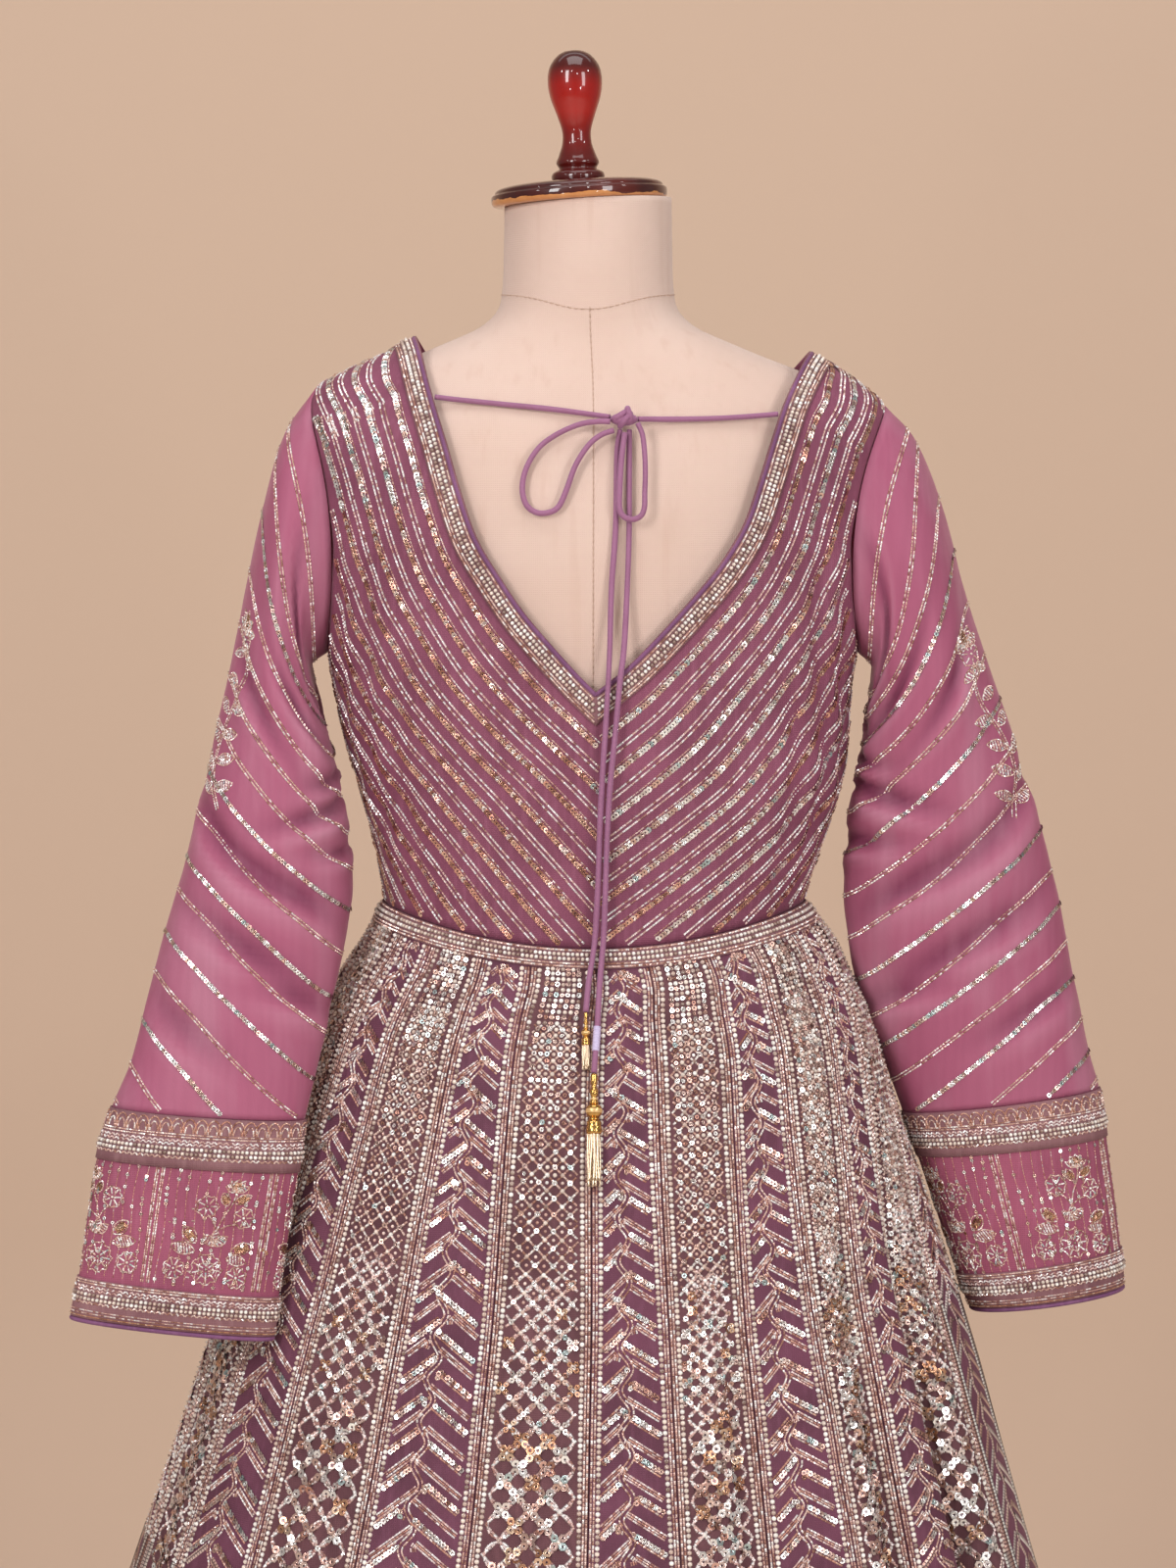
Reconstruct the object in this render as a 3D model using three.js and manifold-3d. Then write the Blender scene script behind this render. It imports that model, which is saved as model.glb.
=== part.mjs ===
// A back-tied anarkali gown on a limbless dress form.
// Millimetres, +Z up. -Y is the wearer's back and +X lies on the left of somebody facing that back's
// own front, that is on the right of somebody who looks at the back. The origin is on the floor, at the
// centre of the stand's base.
//
// The gown is a set of open cloth walls. Each wall starts as a surface of points with an outward
// normal, and closes by repeating the surface one cloth thickness further in.
import * as THREE from "three";
import { mergeVertices } from "three/addons/utils/BufferGeometryUtils.js";
import Module from "manifold-3d";

const wasm = await Module();
wasm.setup();

const TURN = 2 * Math.PI;
const DEG = Math.PI / 180;

// ---------------------------------------------------------------- driving dimensions

const SEAM_GAP = 0.3;          // between neighbouring pieces
const LINED_CLOTH = 1.6;       // embroidered, lined bodice, skirt and cuffs
const ORGANZA = 1.0;           // the sheer sleeves
const BAND_THICKNESS = 1.8;    // beaded bands and borders
const BORDER_WIDTH = 16;       // neckline border
const WAIST_BAND = 12.5;       // height of the band over the waist seam
const HEM_HEIGHT = 22;         // the hem's height over the floor
const CENTRE_BACK_X = 2;       // the worn gown sits a little to +X
const GORE_PAIRS = 12;
const VINE_SHARE = 0.445;      // of a pair's angle, the rest is the lattice gore
const TIE_DIAMETER = 4;

function table(columns, rows) {
  return rows.map((row) => Object.fromEntries(columns.map((name, i) => [name, row[i]])));
}

// The worn bodice, level by level: half of its width, and its depth behind and in front of the side seams.
const GOWN_RINGS = table(["z", "shift", "halfWidth", "back", "front"], [
  [1000, 0, 137, 104, 104],
  [1031, 1, 139.5, 105, 106],
  [1062, 3.5, 146.5, 107, 112],
  [1108, 5, 160, 109, 122],
  [1134, 3, 166, 110, 128],
  [1173, 0, 171.5, 111, 132],
  [1200, 0, 176, 112, 131],
  [1250, 0, 183, 111, 122],
  [1300, 0, 190, 106, 108],
  [1340, 0, 195, 94, 90],
  [1359, 0, 192, 82, 76],
  [1372, -1, 179, 72, 66],
  [1381, 1, 164.5, 65, 60],
  [1392, 3, 142, 58, 53],
  [1403, 0, 116, 52, 48],
  [1412, 0, 92, 46, 42],
]);

// The necklines' edges seen square on, from the point of the V up to the shoulder.
const NECKLINE = {
  back: {
    "-1": table(["x", "z"], [
      [2, 1173], [-9, 1184], [-28, 1205], [-44, 1224], [-59, 1246], [-74, 1271], [-85, 1302],
      [-94, 1333], [-104, 1365], [-112, 1393],
    ]),
    "1": table(["x", "z"], [
      [2, 1173], [22, 1189], [42, 1209], [63, 1232], [82, 1255], [97, 1280], [107, 1308],
      [115, 1333], [124, 1359], [136, 1383],
    ]),
  },
  front: {
    "-1": table(["x", "z"], [
      [2, 1270], [-20, 1279], [-44, 1294], [-66, 1315], [-84, 1340], [-98, 1366], [-110, 1392],
    ]),
    "1": table(["x", "z"], [
      [2, 1270], [24, 1279], [50, 1294], [75, 1315], [97, 1338], [116, 1362], [133, 1382],
    ]),
  },
};
const NECK_POINT_Z = { "-1": 1403, "1": 1393 };     // neckline meets shoulder seam
const SHOULDER_POINT_Z = { "-1": 1372, "1": 1358 }; // shoulder seam meets armhole
const UNDERARM_Z = 1195;
const ARMHOLE_HALF_DEPTH = 45;
const ARMHOLE_GAP = 0.7;       // the sleeve's thickness leans towards the bodice's edge here

// The waist seam dips at the centre back and front and rises to the sides.
const WAIST_SEAM = { back: 1008, front: 1015, side: 1031 };

// How much wider and deeper than the waist the skirt is, by the drop below the waist seam.
const SKIRT_FLARE = table(["drop", "shift", "side", "back", "front"], [
  [0, 0, 0, 0, 0],
  [24, 3, 16, 9, 8],
  [45, 1, 28, 17, 15],
  [72, 0, 42, 27, 24],
  [130, -1, 61, 44, 40],
  [230, -1, 94, 68, 64],
  [290, -2, 114, 82, 78],
  [350, -3, 133, 96, 92],
  [450, -5, 167, 120, 116],
  [640, -4, 235, 182, 178],
  [820, -2, 300, 246, 242],
  [1009, 0, 360, 312, 308],
]);

// Where a line down the cloth shows once the folds have taken up some of it (degrees from centre back).
const CLOTH_TURN = table(["cloth", "seen"], [
  [-180, -180], [-150, -150], [-120, -121], [-90, -92], [-60, -64], [-46.7, -48], [-30, -31],
  [-16.7, -15.6], [0, 0], [13.3, 12], [30, 24.5], [43.3, 36.5], [60, 47], [73.3, 57], [90, 68],
  [103.3, 85], [120, 106], [150, 144], [180, 180],
]);
const TURN_FULL_DROP = 260;    // below this drop the folds have taken up all that they do

// The skirt's folds: valleys at an angle of the cloth, as wide as spread, deep at the hem.
const FOLDS = table(["angle", "spread", "depth", "start"], [
  [-153, 5.5, 46, 220],
  [-123, 5, 40, 260],
  [-94, 5, 30, 340],
  [-71, 4.5, 30, 200],
  [-43.5, 4, 20, 300],
  [-20, 3.5, 15, 420],
  [27.5, 3.6, 46, 170],
  [56.5, 4, 60, 130],
  [76, 3.6, 92, 90],
  [107, 5, 44, 300],
  [134, 5.5, 52, 240],
  [166, 5, 42, 280],
]);
const HEM_WAVE = 9;            // each gore pair bulges this far at the hem

// Sleeves, from the armhole down to the cuff's hem: the outer and inner edge of each section, half of
// its depth, and how far down the sleeve it lies. Row 0 is the armhole itself.
const SLEEVE_COLUMNS = ["down", "outerX", "outerY", "outerZ", "innerX", "innerY", "innerZ", "halfDepth"];
const SLEEVE = {
  left: table(SLEEVE_COLUMNS, [
    [0, -180, 0, 1372, -175.6, 0, 1195, 45],
    [18, -202, -2, 1341, -185, -4, 1188, 48],
    [50, -217, -6, 1290, -184, -10, 1176, 49],
    [85, -228, -9, 1238, -179, -16, 1158, 48],
    [124, -238, -15, 1186, -170, -25, 1132, 46],
    [168, -250, -27, 1135, -162, -34, 1095, 44],
    [233, -267, -43, 1059, -157, -46, 1041, 41],
    [291, -283, -57, 1000, -166, -60, 984, 36],
    [355, -299, -75, 934, -180, -79, 922, 30],
    [383, -311, -84, 904, -186, -87, 896, 27],
    [415, -320, -93, 872, -190, -96, 863, 24],
    [492, -331, -103, 797, -202, -107, 784, 20],
    [521, -336, -105, 769, -206, -109, 756, 19],
  ]),
  right: table(SLEEVE_COLUMNS, [
    [0, 193, 0, 1358, 175.6, 0, 1195, 45],
    [18, 212, 0, 1337, 184, 0, 1187, 48],
    [50, 231, 0, 1290, 184, 0, 1175, 49],
    [85, 245, 0, 1238, 182, 0, 1158, 48],
    [124, 262, 0, 1186, 177, 0, 1133, 46],
    [168, 281, 1, 1134, 171, 2, 1098, 44],
    [233, 304, 3, 1056, 167, 3, 1032, 42],
    [291, 318, 5, 990, 176, 5, 972, 40],
    [355, 331, 7, 930, 198, 7, 914, 38],
    [383, 338, 8, 905, 207, 8, 889, 37],
    [415, 343, 8, 873, 217, 8, 860, 37],
    [492, 353, 9, 798, 244, 9, 781, 36],
    [521, 355, 9, 770, 254, 9, 756, 36],
  ]),
};
const SLEEVE_SETTLE = 60;      // down to here the sections still bend to the armhole
const CUFF_TOP = 383;          // down the sleeve
const CUFF_BAND_END = 415;
const CUFF_HEM_BAND = 492;
const CUFF_PIPING = 518;
const CUFF_END = 521;

// The dress form, level by level, on its own centre line.
const FORM_X = -3;
const FORM_RINGS = table(["z", "halfWidth", "back", "front"], [
  [750, 148, 100, 96],
  [758, 160, 112, 106],
  [800, 168, 122, 112],
  [850, 166, 122, 110],
  [900, 156, 112, 103],
  [960, 137, 98, 94],
  [1010, 128, 95, 93],
  [1062, 136, 99, 100],
  [1108, 149, 101, 110],
  [1173, 162, 103, 120],
  [1250, 170, 102, 111],
  [1300, 175, 97, 97],
  [1340, 177, 86, 80],
  [1362, 168, 72, 66],
  [1378, 146, 63, 58],
  [1390, 116, 58, 54],
  [1400, 92, 55, 52],
  [1409, 72, 54, 52],
  [1420, 60, 54, 53],
  [1434, 56.5, 54, 54],
  [1460, 55.5, 54, 54],
  [1491, 55, 54, 54],
]);
const NECK_TILT = 3.5 * DEG;   // the neck's top and its cap rise to +X
const CAP = { x: -8.5, z: 1491, radius: 58, thickness: 14 };
const FINIAL_LEAN = -2 * DEG;
// Turned finial: height over its foot, and radius.
const FINIAL_PROFILE = table(["height", "radius"], [
  [0, 17], [3, 17.6], [6, 16.4], [8, 12.5], [12, 14.2], [17, 12.4], [25, 9.8], [33, 9.6], [43, 12.5],
  [55, 16.6], [65, 18], [74, 16.8], [81, 12.5], [85, 6.5], [86, 0],
]);
const STAND = { baseRadius: 170, baseHeight: 14, poleRadius: 16 };

// The tie: its two spans along the form's back, the bow's two loops, and the two hanging tails.
const KNOT = { x: 20, y: -92, z: 1347, halfWidth: 9, halfDepth: 5.6, halfHeight: 6 };
const TIE_ROUTES = {
  tie_span_left: [
    [-101.7, -66.2, 1362], [-85, -68.5, 1360], [-66, -73, 1358], [-47, -77.2, 1356], [-28, -81, 1354],
    [-9, -84.5, 1351.5], [3, -87.5, 1349.8], [11, -90.5, 1348.6],
  ],
  tie_span_right: [
    [119.6, -67, 1351], [104.6, -69, 1349.7], [85, -74.4, 1348.3], [66, -79, 1347.6],
    [47.5, -83, 1347.3], [37, -87, 1347.3], [29, -90.6, 1347.2],
  ],
  tie_loop_left: [
    [11.2, -95.7, 1345.5], [3, -95.3, 1345.6], [-9, -94, 1343.6], [-23.7, -93, 1337],
    [-35, -94, 1328.2], [-42.5, -96, 1315.7], [-45, -98.5, 1303], [-42.5, -100, 1292.5],
    [-36, -101, 1287.5], [-28, -101.8, 1287.5], [-21.8, -102, 1291.2], [-16.8, -101.5, 1301.8],
    [-11, -99.5, 1317.5], [-3, -97.3, 1330], [5, -96, 1336.8], [13.6, -95.5, 1340],
  ],
  tie_loop_right: [
    [28.8, -95.9, 1344.5], [31.8, -97.2, 1337], [33.2, -99.3, 1325], [33.6, -101.5, 1312],
    [33.2, -103.8, 1300], [33, -105.5, 1291], [30.7, -106.3, 1285.3], [25, -106.6, 1283],
    [19.3, -106.3, 1285.3], [17, -105.5, 1291], [17.2, -103.8, 1303], [18, -101.2, 1317],
    [19.4, -98, 1330], [20.6, -96, 1338.3],
  ],
  tie_tail_left: [
    [17.5, -90.5, 1340.3], [15.6, -93, 1328], [15.2, -96.3, 1314], [14.6, -102.2, 1277],
    [12, -106.5, 1239], [10.9, -113, 1202], [9.9, -116.4, 1180], [8.2, -116.8, 1150],
    [6.2, -115.8, 1120], [4.6, -114.8, 1089], [3.4, -112.8, 1051], [1.8, -111.8, 1020],
    [0, -114, 1004], [-2.6, -119.5, 988], [-4.3, -126.5, 970],
  ],
  tie_tail_right: [
    [23.5, -90.5, 1340.3], [23.4, -93.3, 1327], [23.3, -97.2, 1308], [23.3, -102.2, 1277],
    [22, -106.5, 1239], [20, -113.6, 1202], [17.4, -116.6, 1180], [14.2, -116.8, 1145],
    [11.2, -116, 1115], [9.2, -114.6, 1080], [8.1, -113, 1045], [7.1, -112.3, 1018],
    [5.8, -114.3, 1002], [4.4, -120, 986], [3, -128.5, 962], [1.8, -135, 945], [0.8, -139.5, 932.5],
  ],
};
const TIE_STEPS = {
  tie_span_left: 7, tie_span_right: 6, tie_loop_left: 16, tie_loop_right: 14,
  tie_tail_left: 18, tie_tail_right: 19,
};
// A tassel hangs from the end of its tail: its foot's lean follows the skirt behind it.
const TASSEL_HEAD = table(["down", "radius"], [
  [0, 0], [0.4, 1.8], [3, 2.2], [6, 2.0], [9, 1.6], [11, 2.5], [13.5, 2.5], [15.5, 1.7], [18, 2.6],
  [20, 2.6], [21, 4.4], [24, 5.2], [27, 4.4], [29, 2.6], [31, 4.6], [33, 4.6], [39, 4.4], [39.2, 0],
]);
const TASSELS = {
  tassel_long: { top: [0.77, -139.63, 932.15], lean: -15 * DEG, scale: 1, strandLength: 34 },
  tassel_short: { top: [-4.35, -126.7, 969.65], lean: -15 * DEG, scale: 0.55, strandLength: 16 },
};
const TASSEL_STRANDS = 10;

// ---------------------------------------------------------------- materials

const finish = (color, roughness, metalness = 0) =>
  () => new THREE.MeshStandardMaterial({ color, roughness, metalness, side: THREE.DoubleSide });
const plumCloth = finish(0x96507a, 0.85);
const organza = finish(0xb25a87, 0.6);
const beadwork = finish(0xc9b4a2, 0.45, 0.2);
const dori = finish(0xa064a0, 0.7);
const linen = finish(0xe8cdba, 0.9);
const lacquer = finish(0x8a1c10, 0.2);
const gold = finish(0xd9a441, 0.3, 0.9);
const steel = finish(0x55514d, 0.4, 0.8);

// ---------------------------------------------------------------- curves through the tables

// One column of a table at a key: a cubic through the rows, whose slopes come from the rows beside.
function curveValue(rows, key, column, at) {
  let i = 1;
  while (i < rows.length - 1 && rows[i][key] < at) i += 1;
  const [low, high] = [rows[i - 1], rows[i]];
  const slope = (a, b) => (b[column] - a[column]) / (b[key] - a[key]);
  const span = high[key] - low[key];
  const startSlope = slope(rows[Math.max(i - 2, 0)], high) * span;
  const endSlope = slope(low, rows[Math.min(i + 1, rows.length - 1)]) * span;
  const t = Math.min(Math.max((at - low[key]) / span, 0), 1);
  return (2 * t ** 3 - 3 * t ** 2 + 1) * low[column] + (t ** 3 - 2 * t ** 2 + t) * startSlope
    + (3 * t ** 2 - 2 * t ** 3) * high[column] + (t ** 3 - t ** 2) * endSlope;
}

function rowAt(rows, key, at) {
  const names = Object.keys(rows[0]).filter((name) => name !== key);
  return Object.fromEntries(names.map((name) => [name, curveValue(rows, key, name, at)]));
}

const mix = (a, b, t) => a + (b - a) * t;
const smooth = (t) => { const c = Math.min(Math.max(t, 0), 1); return c * c * (3 - 2 * c); };

// ---------------------------------------------------------------- closed walls from surfaces

// A grid of points at(u, v) with their outward normals. Normals come from the surface itself, so that
// neighbouring pieces that share an edge line thicken alike. wrap joins the last u to the first;
// flip turns the surface over.
function gridSurface(at, us, vs, wrap, flip) {
  const step = 1e-3;
  const points = [];
  const normals = [];
  const faces = [];
  for (const v of vs) {
    for (const u of us) {
      const here = at(u, v);
      const alongU = at(u + step, v).clone().sub(at(u - step, v));
      const alongV = at(u, v + step).clone().sub(at(u, v - step));
      points.push(here);
      normals.push(alongU.cross(alongV).normalize().multiplyScalar(flip ? -1 : 1));
    }
  }
  const across = us.length;
  for (let row = 0; row + 1 < vs.length; row += 1) {
    for (let i = 0; i < (wrap ? across : across - 1); i += 1) {
      const j = (i + 1) % across;
      const [a, b] = [row * across + i, row * across + j];
      const [c, d] = [a + across, b + across];
      faces.push(...(flip ? [[a, d, b], [a, c, d]] : [[a, b, d], [a, d, c]]));
    }
  }
  return { points, normals, faces };
}

// A closed wall: the surface's points moved out by near, and again by far, joined along its free edges.
function wall(surface, near, far) {
  const count = surface.points.length;
  const moved = (distance) => surface.points.map((point, i) =>
    point.clone().addScaledVector(surface.normals[i], distance));
  const triangles = [];
  const edges = new Set();
  for (const [a, b, c] of surface.faces) {
    triangles.push([a, b, c], [a + count, c + count, b + count]);
    for (const [from, to] of [[a, b], [b, c], [c, a]]) edges.add(`${from} ${to}`);
  }
  for (const edge of edges) {
    const [from, to] = edge.split(" ").map(Number);
    if (edges.has(`${to} ${from}`)) continue;
    triangles.push([to, from, from + count], [to, from + count, to + count]);
  }
  return meshGeometry([...moved(near), ...moved(far)], triangles);
}

function meshGeometry(points, triangles) {
  const geometry = new THREE.BufferGeometry();
  geometry.setAttribute("position", new THREE.Float32BufferAttribute(points.flatMap((p) => [p.x, p.y, p.z]), 3));
  geometry.setIndex(triangles.flat());
  geometry.computeVertexNormals();
  return geometry;
}

const steps = (count) => Array.from({ length: count + 1 }, (_, i) => i / count);
const ringAngles = (count) => Array.from({ length: count }, (_, i) => (TURN * i) / count);

// ---------------------------------------------------------------- the bodice's surface

const ringCache = new Map();
function gownRing(z) {
  if (!ringCache.has(z)) ringCache.set(z, rowAt(GOWN_RINGS, "z", z));
  return ringCache.get(z);
}

// A point of the bodice: the angle runs from the centre back, positive to +X.
function gownAt(angle, z) {
  const ring = gownRing(z);
  const depth = Math.cos(angle) >= 0 ? ring.back : ring.front;
  return new THREE.Vector3(ring.shift + ring.halfWidth * Math.sin(angle), -depth * Math.cos(angle), z);
}

// A panel's own angle runs from the centre of its face, the back or the front, to a side seam.
const faceAngle = (face, angle) => (face === "back" ? angle : Math.PI - angle);

function angleOf(x, z) {
  const ring = gownRing(z);
  return Math.asin(Math.min(Math.max((x - ring.shift) / ring.halfWidth, -1), 1));
}

function waistSeam(angle) {
  const middle = Math.cos(angle) >= 0 ? WAIST_SEAM.back : WAIST_SEAM.front;
  return mix(middle, WAIST_SEAM.side, Math.sin(angle) ** 2);
}

// The neckline as a curve of x and z; along is 0 at the V and 1 at the shoulder's neck point.
function necklinePoint(face, side, along) {
  const rows = NECKLINE[face][side].map((row, i) => ({ ...row, i }));
  const z = NECK_POINT_Z[side];
  const ring = gownRing(z);
  rows.push({ x: ring.shift + side * ring.halfWidth, z, i: rows.length });
  const at = along * (rows.length - 1);
  return { x: curveValue(rows, "i", "x", at), z: curveValue(rows, "i", "z", at) };
}

// The same curve moved into the cloth by a distance, mitred at the V.
function borderPoint(face, side, along, distance) {
  const near = 1e-3;
  const [a, b] = [necklinePoint(face, side, Math.max(along - near, 0)),
    necklinePoint(face, side, Math.min(along + near, 1))];
  const length = Math.hypot(b.x - a.x, b.z - a.z);
  const [tx, tz] = [(b.x - a.x) / length, (b.z - a.z) / length];
  const [nx, nz] = [side * tz, -side * tx];
  const here = necklinePoint(face, side, along);
  const mitre = (distance * nx / tx) * Math.max(1 - along * 9, 0) ** 2;
  return { x: here.x + nx * distance - tx * mitre, z: here.z + nz * distance - tz * mitre };
}

// Half of the armhole, from the underarm (0) up to the shoulder point (1), as an angle and a height.
function armholePoint(face, side, along) {
  const alpha = Math.PI * (1 - along);
  const top = SHOULDER_POINT_Z[side];
  const z = mix(UNDERARM_Z, top, (1 + Math.cos(alpha)) / 2);
  const reach = ARMHOLE_HALF_DEPTH * Math.sin(alpha) / gownRing(z)[face];
  return { angle: side * Math.acos(Math.min(reach, 1)), z };
}

const CENTRE_ROWS = 5;         // of a half panel, from the waist to the border's tip and the underarm
const NECK_ROWS = 10;          // beside the neckline and the armhole
const PANEL_COLUMNS = 6;
const SIDE_SEAM_ROOM = SEAM_GAP / 2 / 100;   // as an angle, at about 100 mm from the centre

// One half of a bodice panel, as rows of { angle, z }: column 0 is the neckline, column 1 the border's
// edge. Below the V both are missing and the centre line takes their place in column 1.
function halfPanelRows(face, side) {
  const seamAngle = side * (Math.PI / 2 - SIDE_SEAM_ROOM);
  const inSeam = (p) => ({ angle: side * Math.min(side * p.angle, side * seamAngle), z: p.z });
  const flat = (p) => inSeam({ angle: angleOf(p.x, p.z), z: p.z });
  const tipZ = (borderPoint(face, -1, 0, BORDER_WIDTH).z + borderPoint(face, 1, 0, BORDER_WIDTH).z) / 2;
  const shoulderTop = NECK_POINT_Z[side];
  const borderTop = mix(shoulderTop, SHOULDER_POINT_Z[side], BORDER_WIDTH / 64);
  const rows = [];
  for (let i = 0; i < CENTRE_ROWS; i += 1) {
    const t = i / CENTRE_ROWS;
    const centreWaist = waistSeam(faceAngle(face, 0)) + SEAM_GAP / 2;
    const centreZ = mix(centreWaist, tipZ, t);
    const inner = { angle: angleOf(CENTRE_BACK_X, centreZ), z: centreZ };
    const sideZ = mix(WAIST_SEAM.side + SEAM_GAP / 2, UNDERARM_Z, t);
    const row = [null];
    for (let j = 0; j <= PANEL_COLUMNS; j += 1) {
      const s = j / PANEL_COLUMNS;
      const angle = mix(inner.angle, seamAngle, s);
      const straight = mix(centreWaist - SEAM_GAP / 2, WAIST_SEAM.side, s);
      const dip = (1 - t) * (waistSeam(faceAngle(face, angle)) - straight);
      row.push({ angle, z: mix(inner.z, sideZ, s) + dip });
    }
    rows.push(row);
  }
  for (let i = 0; i <= NECK_ROWS; i += 1) {
    const along = i / NECK_ROWS;
    const edge = necklinePoint(face, side, along);
    const last = i === NECK_ROWS;
    const offset = i === 0 ? { x: CENTRE_BACK_X, z: tipZ } : borderPoint(face, side, along, BORDER_WIDTH);
    const border = last ? { angle: seamAngle, z: borderTop } : flat(offset);
    const outer = inSeam(armholePoint(face, side, along));
    const row = [last ? { angle: seamAngle, z: shoulderTop } : flat(edge)];
    for (let j = 0; j <= PANEL_COLUMNS; j += 1) {
      const s = j / PANEL_COLUMNS;
      row.push({ angle: mix(border.angle, outer.angle, s), z: mix(border.z, outer.z, s) });
    }
    rows.push(row);
  }
  return rows;
}

// Both halves of a panel, joined on the centre line, and the strip of it that the border lies on.
function bodicePanel(face) {
  const keys = new Map();
  const points = [];
  const normals = [];
  const faces = [];
  const strip = [];
  const step = 1e-3;
  const vertex = ({ angle, z }) => {
    const around = faceAngle(face, angle);
    const here = gownAt(around, z);
    const key = here.toArray().map((value) => value.toFixed(3)).join(" ");
    if (!keys.has(key)) {
      const across = gownAt(around + step, z).clone().sub(gownAt(around - step, z));
      const up = gownAt(around, z + step).clone().sub(gownAt(around, z - step));
      keys.set(key, points.length);
      points.push(here);
      normals.push(across.cross(up).normalize());
    }
    return keys.get(key);
  };
  for (const side of [-1, 1]) {
    const flip = (side < 0) !== (face === "front");
    const rows = halfPanelRows(face, side);
    for (let i = 0; i + 1 < rows.length; i += 1) {
      for (let j = rows[i][0] ? 0 : 1; j <= PANEL_COLUMNS; j += 1) {
        const [a, b, c, d] = [rows[i][j], rows[i][j + 1], rows[i + 1][j], rows[i + 1][j + 1]].map(vertex);
        const pair = flip ? [[a, d, b], [a, c, d]] : [[a, b, d], [a, d, c]];
        for (const face3 of pair) {
          if (new Set(face3).size < 3) continue;
          faces.push(face3);
          if (j === 0) strip.push(face3);
        }
      }
    }
  }
  return { panel: { points, normals, faces }, border: compact({ points, normals, faces: strip }) };
}

// The surface with only the points that its faces use.
function compact({ points, normals, faces }) {
  const used = [...new Set(faces.flat())];
  const renumbered = new Map(used.map((old, i) => [old, i]));
  return {
    points: used.map((i) => points[i]),
    normals: used.map((i) => normals[i]),
    faces: faces.map((face) => face.map((i) => renumbered.get(i))),
  };
}

// ---------------------------------------------------------------- sleeves and cuffs

const SLEEVE_FACETS = 2 * NECK_ROWS;

// A point of a sleeve: alpha is 0 on its outer line and a half turn on its inner line, down is measured
// from the armhole. Near the armhole the section bends to the armhole's own curve.
function sleevePoint(name, alpha, down) {
  const row = rowAt(SLEEVE[name], "down", down);
  const side = name === "left" ? -1 : 1;
  const outer = new THREE.Vector3(row.outerX, row.outerY, row.outerZ);
  const inner = new THREE.Vector3(row.innerX, row.innerY, row.innerZ);
  const half = outer.clone().sub(inner).multiplyScalar(0.5);
  const point = outer.clone().add(inner).multiplyScalar(0.5).addScaledVector(half, Math.cos(alpha));
  point.y -= side * row.halfDepth * Math.sin(alpha);
  const settle = Math.max(1 - down / SLEEVE_SETTLE, 0) ** 2;
  if (settle > 0) {
    const top = SHOULDER_POINT_Z[side];
    const z = mix(UNDERARM_Z, top, (1 + Math.cos(alpha)) / 2);
    const ring = gownRing(z);
    const y = ARMHOLE_HALF_DEPTH * Math.sin(alpha);
    const depth = side * y > 0 ? ring.back : ring.front;
    const edgeX = ring.shift + side * (ring.halfWidth * Math.sqrt(1 - Math.min((y / depth) ** 2, 1)) + ARMHOLE_GAP);
    const start = rowAt(SLEEVE[name], "down", 0);
    const plainX = mix(start.innerX, start.outerX, (1 + Math.cos(alpha)) / 2);
    point.x += settle * (edgeX - plainX);
  }
  return point;
}
const sleeveRows = SLEEVE.left.map((row) => row.down).filter((down) => down < CUFF_TOP);

function sleeveSurface(name, downs) {
  return gridSurface((alpha, down) => sleevePoint(name, alpha, down), ringAngles(SLEEVE_FACETS), downs,
    true, false);
}

// ---------------------------------------------------------------- the skirt

const LATTICE_TURN = (360 / GORE_PAIRS) * (1 - VINE_SHARE);
const VINE_TURN = (360 / GORE_PAIRS) * VINE_SHARE;
const wrapTurn = (turn) => turn - 360 * Math.round(turn / 360);

// How far the cloth is folded in (mm, negative is inward) at a turn in degrees and a drop.
function foldDepth(turn, drop) {
  const total = FOLDS.reduce((sum, fold) => {
    const away = wrapTurn(turn - fold.angle) / fold.spread;
    return sum - fold.depth * smooth((drop - fold.start) / (1000 - fold.start)) ** 0.8 * Math.exp(-away * away);
  }, 0);
  const wave = Math.cos((turn * GORE_PAIRS + LATTICE_TURN * GORE_PAIRS / 2) * DEG);
  return total + HEM_WAVE * wave * smooth((drop - 300) / 700);
}

// A point of the skirt: the turn of the cloth in degrees from the centre back, and fall, 0 at the waist
// seam and 1 at the hem.
function skirtPoint(turn, fall) {
  const angle = turn * DEG;
  const seam = waistSeam(angle) - SEAM_GAP / 2;
  const drop = fall * (seam - HEM_HEIGHT);
  const top = gownRing(seam);
  const flare = rowAt(SKIRT_FLARE, "drop", drop);
  const turned = curveValue(CLOTH_TURN, "cloth", "seen", wrapTurn(turn));
  const seen = mix(wrapTurn(turn), turned, smooth(drop / TURN_FULL_DROP)) * DEG;
  const folded = foldDepth(turn, drop);
  const behind = Math.cos(seen) >= 0;
  const depth = behind ? top.back + flare.back : top.front + flare.front;
  return new THREE.Vector3(
    top.shift + flare.shift + (top.halfWidth + flare.side + folded) * Math.sin(seen),
    -(depth + folded) * Math.cos(seen),
    seam - drop,
  );
}

const GORE_COLUMNS = 4;
const BAND_FALL = WAIST_BAND / (WAIST_SEAM.back - HEM_HEIGHT);
const GORE_FALLS = [0, BAND_FALL, 0.045, 0.1, 0.19, 0.3, 0.42, 0.56, 0.7, 0.85, 1];

// The seams' gap as a turn in degrees: a degree is wider at the hem than at the waist.
const seamTurn = (fall) => SEAM_GAP / mix(2, 4.2, fall);

// A gore's surface: across runs from one seam to the other, with half of the gap left free at each.
function goreSurface(from, width) {
  const at = (across, fall) => {
    const room = seamTurn(fall);
    return skirtPoint(from + room / 2 + (width - room) * across, fall);
  };
  return gridSurface(at, steps(GORE_COLUMNS), GORE_FALLS, false, true);
}

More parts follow.
